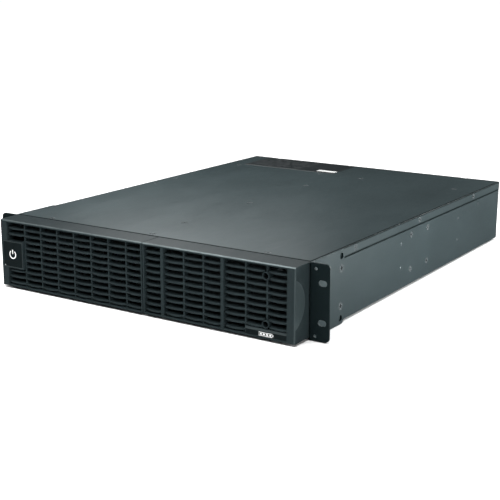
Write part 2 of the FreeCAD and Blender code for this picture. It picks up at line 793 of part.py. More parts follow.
def make_rack_ears():
    """The angle brackets with the rack slots; the left one is the mirror image of the right."""
    owner = body("ear_body")
    inner, outer = size.case_half, ear_outside
    ear_front = size.ear_plane
    profile = sketch(owner, "ear_profile", "XY_Plane", size.ear_low)
    outline(profile, [
        (inner, ear_front), (size.ear_reach, ear_front), (size.ear_reach, ear_front + size.ear_steel),
        (outer, ear_front + size.ear_steel), (outer, ear_rear), (inner, ear_rear),
    ])
    pad(owner, profile, size.ear_high - size.ear_low)
    rounded(owner, "ear_bend", size.ear_bend - 0.6, lambda b: b.ZLength > 80 and near(b.XMin, inner)
            and near(b.YMin, ear_front))
    rounded(owner, "ear_inner_bend", 0.8, lambda b: b.ZLength > 80 and near(b.XMin, outer)
            and near(b.YMin, ear_front + size.ear_steel))
    rounded(owner, "ear_front_corners", size.ear_corner, lambda b: b.YLength > 2 and b.XLength < 0.1
            and near(b.XMin, size.ear_reach) and b.ZLength < 0.1)
    rounded(owner, "ear_rear_corners", size.ear_rear_corner, lambda b: b.XLength > 2 and b.YLength < 0.1
            and near(b.YMin, ear_rear) and b.ZLength < 0.1)
    rounded(owner, "ear_edges", 0.35, lambda b: near(b.YMax, ear_front) and b.XLength < 30
            and b.XMin > inner.value + 2 and b.YLength < 0.1)
    holes = []
    for i, high in enumerate((size.slot_low, size.slot_high), 1):
        reach = size.slot_length / 2 - size.slot_half
        start = ear_front - 1
        deep = size.ear_steel + 2
        for side in (-1, 1):
            centre = (size.slot_x + reach * side, start, high)
            holes.append(cylinder(f"ear_slot_end_{i}_{side + 1}", "Y", centre, deep, size.slot_half))
        low = (size.slot_x - reach, start, high - size.slot_half)
        holes.append(box(f"ear_slot_{i}", low, (size.slot_x + reach, start + deep, high + size.slot_half)))
    for i, high in enumerate((size.small_low, size.small_high), 1):
        holes.append(cylinder(f"ear_small_{i}", "Y", (size.small_x, ear_front - 1, high), 5, size.small_rad))
    for i, high in enumerate((size.ear_spare_low, size.ear_spare_high), 1):
        where = (outer + 1, ear_front + size.ear_screw_back, high)
        holes.append(cylinder(f"ear_spare_{i}", "-X", where, 6, size.ear_spare_rad))
    holes += countersinks("ear", ear_screw_places[:2], EAR_SCREW)
    right = node("rack_ear_right", cut("rack_ear_right", owner, holes))
    node("rack_ear_left", mirrored("rack_ear_left", right))


def make_case_fasteners():
    node("cover_top_screws", copies("cover_top_screws", case_screw, cover_top_places))
    side_places = cover_side_places + side_wall_places
    node("case_side_screws", copies("case_side_screws", case_screw, side_places))
    node("ear_screws", copies("ear_screws", ear_screw, ear_screw_places))
    nut = cut("front_nut", prism("front_nut_blank", "Y", (0, 0, 0), 5, 4.6),
              [cylinder("front_nut_bore", "Y", (0, -1, 0), 7, 2.6)])
    start = size.panel_front + size.steel
    places = [((size.access_x, start, high), "Z") for high in (size.access_upper, size.access_lower)]
    node("front_nuts", copies("front_nuts", nut, places))


def make_rubber_feet():
    foot = cone("rubber_foot", "Z", (0, 0, 0), size.case_low, size.foot_rad - 0.8, size.foot_rad)
    places = [((size.foot_x * x, size.foot_y * y, 0), "Z") for x in (-1, 1) for y in (-1, 1)]
    node("rubber_feet", copies("rubber_feet", foot, places))


def make_labels():
    """The dark rating label on the cover and the small white sticker on it, both blank."""
    back = size.ear_plane
    top = size.case_high
    rating = box("rating_label", (-186, back + 488, top), (-23, back + 565, top + 0.12))
    node("rating_label", rating)
    sticker = box("serial_label", (-57, back + 497, top + 0.12), (-25, back + 508, top + 0.24))
    node("serial_label", sticker)


# ---------------------------------------------------------------- bezel


def bezel_shell(owner, name, left, right, thick_bars, columns):
    """One bezel section: an open-backed moulding whose front is a grille of bars and bowed slats."""
    low, high = size.bezel_low, size.bezel_high
    shell = sketch(owner, f"{name}_shell", "XZ_Plane", -front)
    rectangle(shell, (left, low), (right, high))
    pad(owner, shell, size.bezel_depth, forward=False)
    rounded(owner, f"{name}_front_edges", 1.3, lambda b: near(b.YMax, front) and near(b.ZMin, high))
    outer = -size.bezel_half if name == "left" else size.bezel_half
    rounded(owner, f"{name}_corner", 2, lambda b: near(b.YMax, front) and near(b.XMin, outer)
            and b.ZLength > 50)
    hollow = sketch(owner, f"{name}_hollow", "XZ_Plane", -bezel_rear)
    wall = size.bezel_wall
    inset_left = left + (wall if name == "left" else size.bar_width)
    inset_right = right - (size.bar_width if name == "left" else wall)
    rectangle(hollow, (inset_left, low + 1.8), (inset_right, high - wall))
    pocket(owner, hollow, size.bezel_depth - size.grille_depth, along=True)
    grille_low, grille_high = low + size.rail_low, high - size.rail_high
    recess = sketch(owner, f"{name}_recess", "XZ_Plane", -front)
    openings = sketch(owner, f"{name}_openings", "XZ_Plane", -front)
    for start, end in columns:
        rectangle(openings, (start, grille_low), (end, grille_high))
    edges = [columns[0][0]]
    for bar in thick_bars:
        edges += [bar - size.thick_bar / 2, bar + size.thick_bar / 2]
    edges.append(columns[-1][1])
    for start, end in zip(edges[::2], edges[1::2]):
        rectangle(recess, (start, grille_low), (end, grille_high))
    pocket(owner, recess, size.bar_recess)
    pocket(owner, openings, size.grille_depth)
    slat = sketch(owner, f"{name}_slat", "XY_Plane", size.slat_first - size.slat_high / 2)
    for start, end in columns:
        bowed_strip(slat, start - 0.4, end + 0.4, front + size.bar_recess, size.slat_deep, size.slat_bulge)
    slats = pad(owner, slat, size.slat_high)
    repeat(owner, slats, "Z_Axis", size.slat_pitch * 9, 10)


def bar_columns(left, right, bars):
    """The clear spans between bars, each bar a centre and a width."""
    spans = []
    start = left
    for centre, width in bars:
        spans.append((start, centre - width / 2))
        start = centre + width / 2
    spans.append((start, right))
    return spans


def make_left_bezel():
    """The left bezel section, with the badge's seat and the socket of the status light."""
    owner = body("bezel_left_body")
    left = -size.bezel_half
    right = size.bezel_seam - size.bezel_gap
    thin = [size.left_first + size.left_pitch * i for i in range(7)]
    bars = [(x, size.bar_width) for x in thin]
    columns = bar_columns(left + size.strip_width, right - size.bar_width, bars)
    bezel_shell(owner, "left", left, right, [], columns)
    seat = sketch(owner, "badge_seat", "XZ_Plane", -front)
    badge_right = size.badge_left + size.badge_wide
    badge_top = size.badge_low + size.badge_high
    rectangle(seat, (left + 2.2, size.badge_low - 1), (badge_right + 1, badge_top + 1))
    pad(owner, seat, size.bar_recess + size.slat_deep, forward=False)
    socket = sketch(owner, "badge_socket", "XZ_Plane", -front)
    rectangle(socket, (size.badge_left - 0.1, size.badge_low - 0.1), (badge_right + 0.1, badge_top + 0.1))
    pocket(owner, socket, size.badge_deep)
    light = sketch(owner, "light_hole", "XZ_Plane", -front)
    circle(light, (size.light_x, size.light_z), size.light_rad + 0.05)
    pocket(owner, light, size.grille_depth + 1)
    pegs = sketch(owner, "left_pegs", "XZ_Plane", -(front + size.bar_recess + size.slat_deep - 1))
    for high in (size.peg_low, size.peg_high):
        for x in (thin[1], thin[6]):
            circle(pegs, (x, high), size.peg_rad)
    reach = bezel_rear + size.peg_reach - (front + size.bar_recess + size.slat_deep - 1)
    pad(owner, pegs, reach, forward=False)
    node("bezel_left", owner)


def make_right_bezel():
    """The right bezel section: the screw holes, the name plate's seat, the finger scoop and four pegs."""
    owner = body("bezel_right_body")
    left = size.bezel_seam + size.bezel_gap
    right = size.bezel_half
    thin_bars = [as_length(x) for x in (67.4, 94.6, 151.2, 178.8)]
    thick_bars = [size.thick_first, as_length(121.9)]
    bars = [(x, size.bar_width) for x in thin_bars] + [(x, size.thick_bar) for x in thick_bars]
    bars.sort(key=lambda bar: bar[0].value)
    columns = bar_columns(left + size.bar_width, right - size.strip_width, bars)
    bezel_shell(owner, "right", left, right, thick_bars, columns)
    rims = sketch(owner, "access_rims", "XZ_Plane", -(front + 0.4))
    holes = sketch(owner, "access_holes", "XZ_Plane", -front)
    for high in (size.access_upper, size.access_lower):
        circle(rims, (size.access_x, high), size.access_rim)
        circle(holes, (size.access_x, high), size.access_rad)
    pad(owner, rims, size.grille_depth - 0.4, forward=False)
    pocket(owner, holes, size.grille_depth + 1)
    seat = sketch(owner, "plate_seat", "XZ_Plane", -(front + 1.2))
    plate_right = right - size.strip_width + 1
    plate_top = size.plate_low + size.plate_high
    rectangle(seat, (size.plate_left - 0.6, size.bezel_low + 1), (plate_right, plate_top + 0.5))
    pad(owner, seat, size.slat_deep, forward=False)
    room = sketch(owner, "plate_room", "XZ_Plane", -front)
    plate_end = right - size.strip_width + 0.1
    rectangle(room, (size.plate_left - 0.1, size.plate_low - 0.1), (plate_end, plate_top + 0.1))
    pocket(owner, room, 1.2)
    node("bezel_right", cut("bezel_right", owner, [finger_scoop()]))
    start = front + size.grille_depth
    reach = size.drawer_face + size.drawer_plate + 0.1 - start
    pegs = [
        cylinder(f"right_peg_{i}{j}", "Y", (x, start, high), reach, size.peg_rad)
        for i, x in enumerate((size.thick_first, right_peg_x()))
        for j, high in enumerate((size.peg_low, size.peg_high))
    ]
    node("bezel_right_pegs", group("bezel_right_pegs", pegs))


def finger_scoop():
    """The crescent that a finger pulls on: deepest behind the lip and flush at its round end."""
    lip = front + 1.6
    wedge = doc.addObject("Part::Wedge", "scoop_wedge")
    deepest = size.bezel_half - size.scoop_deep
    bind(wedge, "Xmin", deepest)
    bind(wedge, "Xmax", size.bezel_half + 1)
    bind(wedge, "X2min", size.bezel_half)
    bind(wedge, "X2max", size.bezel_half + 1)
    bind(wedge, "Ymin", lip)
    bind(wedge, "Ymax", front - size.scoop_centre + size.scoop_rad)
    for prop in ("Zmin", "Z2min"):
        bind(wedge, prop, size.scoop_high - size.scoop_rad - 1)
    for prop in ("Zmax", "Z2max"):
        bind(wedge, prop, size.scoop_high + size.scoop_rad + 1)
    start = (deepest - 1, front - size.scoop_centre, size.scoop_high)
    disc = cylinder("scoop_disc", "X", start, size.scoop_deep + 3, size.scoop_rad)
    return common("finger_scoop", [wedge, disc])


def make_bezel_trim():
    """The badge, the name plate and the light pipe, all without lettering."""
    badge = body("badge_body")
    right = size.badge_left + size.badge_wide
    top = size.badge_low + size.badge_high
    face = sketch(badge, "badge_face", "XZ_Plane", -front)
    rectangle(face, (size.badge_left, size.badge_low), (right, top))
    pad(badge, face, size.badge_deep, forward=False)
    rounded(badge, "badge_corners", 1.6, lambda b: b.YLength > 2 and b.XLength < 0.1 and b.ZLength < 0.1)
    rim = size.bar_width * 0.45
    field = sketch(badge, "badge_field", "XZ_Plane", -front)
    rectangle(field, (size.badge_left + rim, size.badge_low + rim), (right - rim, top - rim))
    pocket(badge, field, 0.5)
    hole = sketch(badge, "badge_light_hole", "XZ_Plane", -front)
    circle(hole, (size.light_x, size.light_z), size.light_rad + 0.05)
    pocket(badge, hole, size.badge_deep + 1)
    node("badge_plate", badge)
    light = cylinder("status_light", "Y", (size.light_x, front + 0.1, size.light_z), 14, size.light_rad)
    node("status_light", light)
    plate_right = size.bezel_half - size.strip_width
    low = (size.plate_left, front + 0.2, size.plate_low)
    plate = box("name_plate_blank", low, (plate_right, front + 1.2, size.plate_low + size.plate_high))
    rim_low = (size.plate_left + 1, front - 1, size.plate_low + 1)
    rim_high = (plate_right - 1, front + 0.5, size.plate_low + size.plate_high - 1)
    node("name_plate", cut("name_plate", plate, [box("name_plate_field", rim_low, rim_high)]))


# ---------------------------------------------------------------- battery drawer


def make_drawer():
    """The battery drawer: front plate, tray, four batteries, their links, leads and plug."""
    owner = body("drawer_front_body")
    face = sketch(owner, "drawer_face", "XZ_Plane", -size.drawer_face)
    left = size.bezel_seam + 2
    right = upper_wall - size.steel - 0.4
    rectangle(face, (left, floor_top + 0.8), (right, cover_inside - 0.8))
    pad(owner, face, size.drawer_plate, forward=False)
    holes = sketch(owner, "drawer_holes", "XZ_Plane", -size.drawer_face)
    for high in (size.access_upper, size.access_lower):
        circle(holes, (size.access_x, high), 2.5 + size.running_fit)
    for high in (size.peg_low, size.peg_high):
        circle(holes, (right_peg_x(), high), size.peg_rad + 0.3)
        circle(holes, (size.thick_first, high), size.peg_rad + 0.3)
    pocket(owner, holes, size.drawer_plate)
    node("drawer_front", owner)

    tray = body("drawer_tray_body")
    start = size.drawer_face + size.drawer_plate
    floor = sketch(tray, "drawer_floor", "XY_Plane", size.tray_low)
    rectangle(floor, (size.tray_left, start), (size.tray_right, size.tray_rear))
    pad(tray, floor, size.tray_high - size.tray_low)
    inside = sketch(tray, "drawer_inside", "XY_Plane", size.tray_high)
    wall = 1
    rectangle(inside, (size.tray_left + wall, start + wall), (size.tray_right - wall, size.tray_rear - wall))
    pocket(tray, inside, size.tray_high - size.tray_low - wall)
    pegs = sketch(tray, "drawer_peg_holes", "XZ_Plane", -start)
    circle(pegs, (size.thick_first, size.peg_low), size.peg_rad + 0.3)
    pocket(tray, pegs, wall + 0.2)
    notch = sketch(tray, "drawer_plug_notch", "XZ_Plane", -(size.tray_rear - wall - 0.5))
    rectangle(notch, (75.8, 27.8), (112.2, 48.2))
    pocket(tray, notch, wall + 1)
    node("drawer_tray", tray)

    middle = (size.tray_left + size.tray_right) / 2
    low_z = size.tray_low + wall
    count = int(size.battery_count.value)
    half = size.battery_long / 2
    tab_x, tab_z = 58, low_z + 46
    cells = []
    for i in range(count):
        near_y = size.battery_start + size.battery_pitch * i
        far_y = near_y + size.battery_tall
        high_corner = (middle + half, far_y, low_z + size.battery_wide)
        cell = [box(f"battery_{i + 1}", (middle - half, near_y, low_z), high_corner)]
        for j, x in enumerate((middle - tab_x, middle + tab_x)):
            tab_low = (x - 3.2, far_y, tab_z)
            cell.append(box(f"battery_tab_{i}_{j}", tab_low, (x + 3.2, far_y + 6, tab_z + 0.8)))
        cells.append(fuse(f"battery_case_{i + 1}", cell))
    node("batteries", group("batteries", cells))

    links = []
    for i in range(count - 1):
        x = middle + (tab_x if i % 2 == 0 else -tab_x)
        near_y = size.battery_start + size.battery_pitch * i + size.battery_tall + 1
        far_y = near_y + size.battery_pitch
        top = low_z + size.battery_wide + 1
        low = tab_z + 0.8
        links.append(fuse(f"battery_link_{i + 1}", [
            box(f"link_rise_{i}", (x - 4, near_y, low), (x + 4, near_y + 1.2, top + 1.2)),
            box(f"link_run_{i}", (x - 4, near_y, top), (x + 4, far_y + 1.2, top + 1.2)),
            box(f"link_drop_{i}", (x - 4, far_y, low), (x + 4, far_y + 1.2, top + 1.2)),
        ]))
    node("battery_links", group("battery_links", links))

    plug_low = (76, size.tray_rear - 7, 28)
    plug_high = (112, size.tray_rear + 8, 48)
    plug = box("battery_plug_blank", plug_low, plug_high)
    blades = [
        box(f"plug_recess_{i}", (x, size.tray_rear + 1, 32), (x + 10, size.tray_rear + 9, 44))
        for i, x in enumerate((81, 97))
    ]
    node("battery_plug", cut("battery_plug", plug, blades))

    top = low_z + size.battery_wide + 6.5
    rear_gap = size.tray_rear - 4
    lead_start = size.battery_start + size.battery_tall + 4
    negative = [
        (middle - tab_x, lead_start, low_z + 50), (middle - tab_x, lead_start, top), (middle - 30, -120, top),
        (middle - 30, 110, top), (middle + 8, rear_gap - 3.4, top - 2), (middle + 8, rear_gap - 3.4, 48),
    ]
    node("battery_lead_negative", tube("battery_lead_negative", negative, 1.8, 6))
    positive = [
        (middle - tab_x, rear_gap - 3.4, low_z + 50), (middle - tab_x, rear_gap - 3.4, top - 8),
        (middle - 12, rear_gap - 3.4, top - 8), (middle - 12, rear_gap - 3.4, 48),
    ]
    node("battery_lead_positive", tube("battery_lead_positive", positive, 1.8, 6))

    master = pan_screw("retaining_screw", 3.2, 2.6, 2.5, 11)
    for label, high in (("upper", size.access_upper), ("lower", size.access_lower)):
        where = (size.access_x, size.drawer_face, high)
        item = copies(f"retaining_screw_{label}", master, [(where, "-Y")])
        node(f"retaining_screw_{label}", item)


# ---------------------------------------------------------------- electronics


def make_main_board():
    """The main circuit board on its standoffs."""
    top = size.board_low + size.board_thick
    low = (size.board_left, size.board_front, size.board_low)
    board = box("main_board_blank", low, (size.board_right, size.board_rear, top))
    standoffs = []
    screws = []
    middle = (size.board_left + size.board_right) / 2
    for i, x in enumerate((size.board_left + 8, middle, size.board_right - 8)):
        for j, y in enumerate((size.board_front + 8, size.board_front + 220, size.board_rear - 8)):
            start = (x, y, floor_top)
            standoffs.append(prism(f"standoff_{i}_{j}", "Z", start, size.board_low - floor_top, 3.2))
            screws.append(cylinder(f"board_hole_{i}_{j}", "Z", (x, y, size.board_low - 1), 4, 1.6))
    node("main_circuit_board", cut("main_circuit_board", board, screws))
    node("board_standoffs", group("board_standoffs", standoffs))


def make_heatsinks():
    """Two finned aluminium extrusions standing on the main board."""
    owner = body("heatsink_body")
    profile = sketch(owner, "heatsink_profile", "XZ_Plane", 0)
    fin, gap, base, tall = 1.6, 5.2, 4, 46
    count = 9
    corners = [(0, 0)]
    width = fin * count + gap * (count - 1)
    corners.append((width, 0))
    for i in reversed(range(count)):
        start = i * (fin + gap)
        corners += [(start + fin, tall), (start, tall)]
        if i:
            corners += [(start, base), (start - gap, base)]
    corners.insert(2, (width, base))
    outline(profile, corners)
    pad(owner, profile, 150, forward=False)
    top = size.board_low + size.board_thick
    places = [((-200, y, top), "Z") for y in (-246, -60)]
    node("heatsinks", copies("heatsinks", owner, places))


def make_board_parts():
    """Power transistors, bus capacitors, the transformer, the control board and the leads."""
    top = size.board_low + size.board_thick
    tab = box("transistor_case", (0, 0, 0), (5, 16, 21))
    places = [((-143.9, y, top), "Z") for y in (-236, -210, -184, -158, -132, -50, -24, 2, 28, 54)]
    node("power_transistors", copies("power_transistors", tab, places))
    can = fuse("capacitor", [
        cylinder("capacitor_can", "Z", (0, 0, 0), 48, 15),
        cone("capacitor_top", "Z", (0, 0, 48), 1.5, 15, 13.5),
    ])
    places = [((x, y, top), "Z") for x in (-105, -68, -30) for y in (-200, -160)]
    node("bus_capacitors", copies("bus_capacitors", can, places))

    start, end = size.core_front, size.core_rear
    core = box("core_block", (40, start, floor_top), (140, end, 79))
    windows = [
        box("core_window_left", (54, start - 1, 20), (76, end + 1, 63)),
        box("core_window_right", (104, start - 1, 20), (126, end + 1, 63)),
    ]
    node("transformer_core", cut("transformer_core", core, windows))
    coil = box("coil_block", (56, start - 7, 22), (124, end + 7, 61))
    leg = box("coil_leg", (75.7, start - 0.3, 10), (104.3, end + 0.3, 70))
    node("transformer_coil", cut("transformer_coil", coil, [leg]))

    board = box("control_board_blank", (-130, -110, top), (-4, -108.4, top + 52))
    chips = [
        box(f"control_chip_{i}", (x, -108.4, top + 14), (x + 14, -106.4, top + 34))
        for i, x in enumerate((-120, -90, -60, -30))
    ]
    node("control_board", fuse("control_board", [board] + chips))

    back = size.bay_rear
    flange = box("socket_flange", (66, back, 20), (122, back + 2.5, 56))
    mouth = box("socket_mouth", (75, back - 1, 27), (113, back + 3, 49))
    block = box("socket_block", (73, back + 2.4, 25), (115, back + 16, 51))
    contacts = [
        box(f"socket_contact_{i}", (x, back - 4, 34), (x + 6, back + 4, 42))
        for i, x in enumerate((83, 99))
    ]
    frame = cut("socket_frame", flange, [mouth])
    node("battery_socket", fuse("battery_socket", [frame, block] + contacts))

    leads = []
    start_y = size.bay_rear + 13
    for i, high in enumerate((34, 42)):
        leads.append(tube(f"board_lead_{i}", [
            (73, start_y - 5 * i, high), (20, start_y - 5 * i, high), (-14, start_y - 5 * i, high - 10),
            (-14, start_y - 5 * i, top),
        ], 1.8, 8))
    node("board_leads", group("board_leads", leads))


# ---------------------------------------------------------------- rear fittings


def make_fans():
    """Two axial fans with their frames, rotors, wire guards and screws."""
    frames, guards, screw_places = [], [], []
    rear = panel_inside
    start = rear - size.fan_deep
    half = size.fan_size / 2
    for label, side in (("left", -1), ("right", 1)):
        x = size.fan_x * side
        z = size.fan_z
        through = size.fan_deep + 2
        block = box(f"fan_block_{label}", (x - half, start, z - half), (x + half, rear, z + half))
        tools = [cylinder(f"fan_bore_{label}", "Y", (x, start - 1, z), through, size.fan_bore)]
        for x_way in (-1, 1):
            for z_way in (-1, 1):
                centre = (x + size.fan_hole * x_way, start - 1, z + size.fan_hole * z_way)
                name = f"fan_hole_{label}_{x_way + 1}{z_way + 1}"
                tools.append(cylinder(name, "Y", centre, through, 2.2))
                where = (centre[0], size.case_rear + 1.9, centre[2])
                screw_places.append((where, "Y"))
        shell = cut(f"fan_shell_{label}", block, tools)
        motor = cylinder(f"fan_motor_{label}", "Y", (x, start, z), 3.5, size.hub_rad)
        reach = size.fan_bore + 0.4
        arms = [
            box(f"fan_arm_x_{label}", (x - reach, start, z - 2), (x + reach, start + 3, z + 2)),
            box(f"fan_arm_z_{label}", (x - 2, start, z - reach), (x + 2, start + 3, z + reach)),
        ]
        frames.append(fuse(f"fan_frame_{label}", [shell, motor] + arms))
        guards.append(make_fan_guard(label, x))
        make_fan_rotor(label, x, start + 4)
    node("fan_frames", group("fan_frames", frames))
    node("fan_guards", group("fan_guards", guards))
    master = pan_screw("fan_screw", 3.4, 2.2, 2, 12)
    node("fan_screws", copies("fan_screws", master, screw_places))


def make_fan_guard(label, x):
    """Wire rings and struts over a fan, with an eye for each screw."""
    wire = 0.95
    level = size.case_rear + wire
    parts = []
    for i, radius in enumerate((9, 18, 27, 36)):
        ring = doc.addObject("Part::Torus", f"guard_ring_{label}_{i}")
        bind(ring, "Radius1", radius)
        bind(ring, "Radius2", wire)
        parts.append(place(ring, (x, level, size.fan_z), "Y"))
    for i, (x_way, z_way) in enumerate(((1, 1), (1, -1), (-1, 1), (-1, -1))):
        strut = doc.addObject("Part::Cylinder", f"guard_strut_{label}_{i}")
        bind(strut, "Radius", wire * 0.9)
        bind(strut, "Height", size.fan_hole * math.sqrt(2) - 3)
        turn = FreeCAD.Rotation(Vector(0, 0, 1), Vector(x_way, 0, z_way))
        strut.Placement = FreeCAD.Placement(Vector(), turn)
        for axis, amount in zip("xyz", (x, level, size.fan_z)):
            bind(strut, f"Placement.Base.{axis}", amount)
        eye = cylinder(
            f"guard_eye_{label}_{i}", "Y",
            (x + size.fan_hole * x_way, size.case_rear, size.fan_z + size.fan_hole * z_way), wire * 2, 4,
        )
        parts += [strut, eye]
    holes = [
        cylinder(
            f"guard_hole_{label}_{i}", "Y",
            (x + size.fan_hole * x_way, size.case_rear - 1, size.fan_z + size.fan_hole * z_way), 5, 2.1,
        )
        for i, (x_way, z_way) in enumerate(((1, 1), (1, -1), (-1, 1), (-1, -1)))
    ]
    return cut(f"fan_guard_{label}", fuse(f"guard_wires_{label}", parts), holes)


def make_fan_rotor(label, x, start):
    """A hub with seven pitched blades."""
    count = 7
    thick = 1.4
    chord = 20
    deep = 17
    blades = []
    for i in range(count):
        blade = doc.addObject("Part::Box", f"blade_{label}_{i}")
        bind(blade, "Length", size.blade_rad)
        bind(blade, "Width", chord)
        bind(blade, "Height", thick)
        around = FreeCAD.Rotation(Vector(0, 1, 0), 360 / count * i)
        pitch = FreeCAD.Rotation(Vector(1, 0, 0), 38)
        middle = around.multiply(pitch)
        shift = middle.multVec(Vector(0, -chord / 2, -thick / 2))
        blade.Placement = FreeCAD.Placement(Vector(), middle)
        centre = (x + shift.x, start + deep / 2 + 1 + shift.y, size.fan_z + shift.z)
        for axis, amount in zip("xyz", centre):
            bind(blade, f"Placement.Base.{axis}", amount)
        blades.append(blade)
    disc = cylinder(f"rotor_disc_{label}", "Y", (x, start + 0.5, size.fan_z), deep, size.blade_rad)
    swept = common(f"rotor_blades_{label}", [fuse(f"rotor_fan_{label}", blades), disc])
    hub = cylinder(f"rotor_hub_{label}", "Y", (x, start, size.fan_z), deep + 1, size.hub_rad)
    node(f"fan_rotor_{label}", fuse(f"fan_rotor_{label}", [hub, swept]))


def make_power_inlet():
    """The recessed mains inlet with its three flat pins."""
    x, z = size.inlet_x, size.inlet_z
    flange = box("inlet_flange", (x - 18, size.case_rear, z - 14), (x + 18, size.case_rear + 2.5, z + 14))
    rear = size.case_rear
    wide, high = size.inlet_half_wide, size.inlet_half_high
    wall = 2.5
    block = box("inlet_block", (x - wide, rear - 24, z - high), (x + wide, rear + 1, z + high))
    recess = box(
        "inlet_recess",
        (x - wide + wall, rear - 17, z - high + wall), (x + wide - wall, rear + 4, z + high - wall),
    )
    node("power_inlet", cut("power_inlet", fuse("inlet_shell", [flange, block]), [recess]))
    pins = []
    for i, (dx, dz) in enumerate(((-7, 2), (0, -2.5), (7, 2))):
        low = (x + dx - 1, size.case_rear - 17, z + dz - 3)
        pins.append(box(f"inlet_pin_{i}", low, (x + dx + 1, size.case_rear - 1.5, z + dz + 3)))
    node("inlet_pins", group("inlet_pins", pins))


def make_outlets():
    """One bank of six mains outlets."""
    start = size.case_rear
    flange = box("outlet_flange", (-17, 0, -13.5), (17, 2, 13.5))
    wide, high = size.outlet_half_wide, size.outlet_half_high
    block = box("outlet_block", (-wide, -22, -high), (wide, 1, high))
    moat = box("outlet_moat", (-12, -16, -8), (12, 3, 8))
    insert = box("outlet_insert", (-9, -17, -5.5), (9, 0.5, 5.5))
    slots = [
        box(f"outlet_slot_{i}", (dx - 1.1, -14, dz - 2.4), (dx + 1.1, 3, dz + 2.4))
        for i, (dx, dz) in enumerate(((-6, -1.5), (0, 1.5), (6, -1.5)))
    ]
    shell = cut("outlet_shell", fuse("outlet_blank", [flange, block]), [moat])
    outlet = cut("outlet", fuse("outlet_body", [shell, insert]), slots)
    places = [((x, start, z), "Z") for x, z in outlet_places()]
    node("outlets", copies("outlets", outlet, places))


def make_breakers():
    """Two resettable breakers, each with a button that pops out when it trips."""
    x, rear = size.breaker_x, size.case_rear
    bodies = []
    for label, high in (("input", size.breaker_upper), ("output", size.breaker_lower)):
        low_corner = (x - 8, panel_inside - 26, high - 9)
        block = fuse(f"breaker_{label}", [
            box(f"breaker_block_{label}", low_corner, (x + 8, panel_inside, high + 9)),
            cylinder(f"breaker_neck_{label}", "Y", (x, panel_inside - 2, high), 6.5, size.breaker_neck),
            prism(f"breaker_nut_{label}", "Y", (x, rear, high), 3, 9),
        ])
        fit = size.button_rad + size.running_fit
        bore = cylinder(f"breaker_bore_{label}", "Y", (x, panel_inside - 12, high), 20, fit)
        bodies.append(cut(f"breaker_body_{label}", block, [bore]))
        stem = cylinder(f"{label}_button_stem", "Y", (x, panel_inside - 11, high), 16.4, size.button_rad)
        crown = cone(f"{label}_button_crown", "Y", (x, panel_inside + 5.4, high), 1, size.button_rad, 3.2)
        node(f"{label}_breaker_button", fuse(f"{label}_breaker_button", [stem, crown]))
    node("breaker_bodies", group("breaker_bodies", bodies))


def make_rocker_switch():
    """The on and off switch: a snap-in frame and a rocker that tilts about a cross axis."""
    x, z = size.breaker_x, size.switch_z
    rear = size.case_rear
    flange = box("switch_flange", (x - 8, rear, z - 11.7), (x + 8, rear + 2, z + 11.7))
    wide, high = size.switch_half_wide, size.switch_half_high
    block = box("switch_block", (x - wide, rear - 20, z - high), (x + wide, rear + 1, z + high))
    opening = box("switch_opening", (x - 5.3, rear - 12, z - 8.8), (x + 5.3, rear + 3, z + 8.8))
    pivot = rear - 1.5
    pivot_hole = cylinder("switch_pivot", "X", (x - 6.2, pivot, z), 12.4, size.rocker_pin + 0.05)
    node("switch_frame", cut("switch_frame", fuse("switch_shell", [flange, block]), [opening, pivot_hole]))
    owner = body("rocker_body")
    profile = sketch(owner, "rocker_profile", "YZ_Plane", -5)
    outline(profile, [(-4, -3), (-1, -7.4), (4.6, -7.4), (3, 0), (4.6, 7.4), (-1, 7.4), (-4, 3)])
    pad(owner, profile, 10)
    owner.Placement = FreeCAD.Placement(Vector(), FreeCAD.Rotation(Vector(1, 0, 0), size.rocker_tilt.value))
    for axis, amount in zip("xyz", (x, pivot, z)):
        bind(owner, f"Placement.Base.{axis}", amount)
    pin = cylinder("rocker_pin", "X", (x - 5.9, pivot, z), 11.8, size.rocker_pin)
    node("power_rocker", fuse("power_rocker", [owner, pin]))


def make_data_ports():
    """The serial port, the data socket and the emergency-off terminal."""
    rear = size.case_rear
    z = size.port_z
    x = size.serial_x
    shell = fuse("serial_blank", [
        box("serial_flange", (x - 15.5, rear, z - 6.2), (x + 15.5, rear + 1, z + 6.2)),
        box("serial_shell", (x - 8.5, rear - 8, z - 4.3), (x + 8.5, rear + 6, z + 4.3)),
    ])
    recess = box("serial_recess", (x - 7.7, rear + 0.6, z - 3.5), (x + 7.7, rear + 7, z + 3.5))
    node("serial_port", cut("serial_port", shell, [recess]))
    x, half = size.data_x, size.data_half
    socket = box("data_block", (x - half, rear - 14, z - half), (x + half, rear + 1.5, z + half))
    mouth = box("data_recess", (x - half + 1, rear - 9, z - half + 1), (x + half - 1, rear + 2, z + half - 1))
    tongue = box("data_tongue", (x - 3, rear - 10, z - 2), (x + 3, rear - 0.5, z + 2))
    node("data_port", fuse("data_port", [cut("data_shell", socket, [mouth]), tongue]))
    x, wide, high = size.stop_x, size.stop_half_wide, size.stop_half_high
    block = box("stop_block", (x - wide, rear - 12, z - high), (x + wide, rear + 4, z + high))
    holes = [
        box(f"stop_hole_{i}", (start, rear - 5, z - 2.3), (start + 4.6, rear + 5, z + 2.3))
        for i, start in enumerate((x - 5.4, x + 0.8))
    ]
    node("stop_terminal", cut("stop_terminal", block, holes))


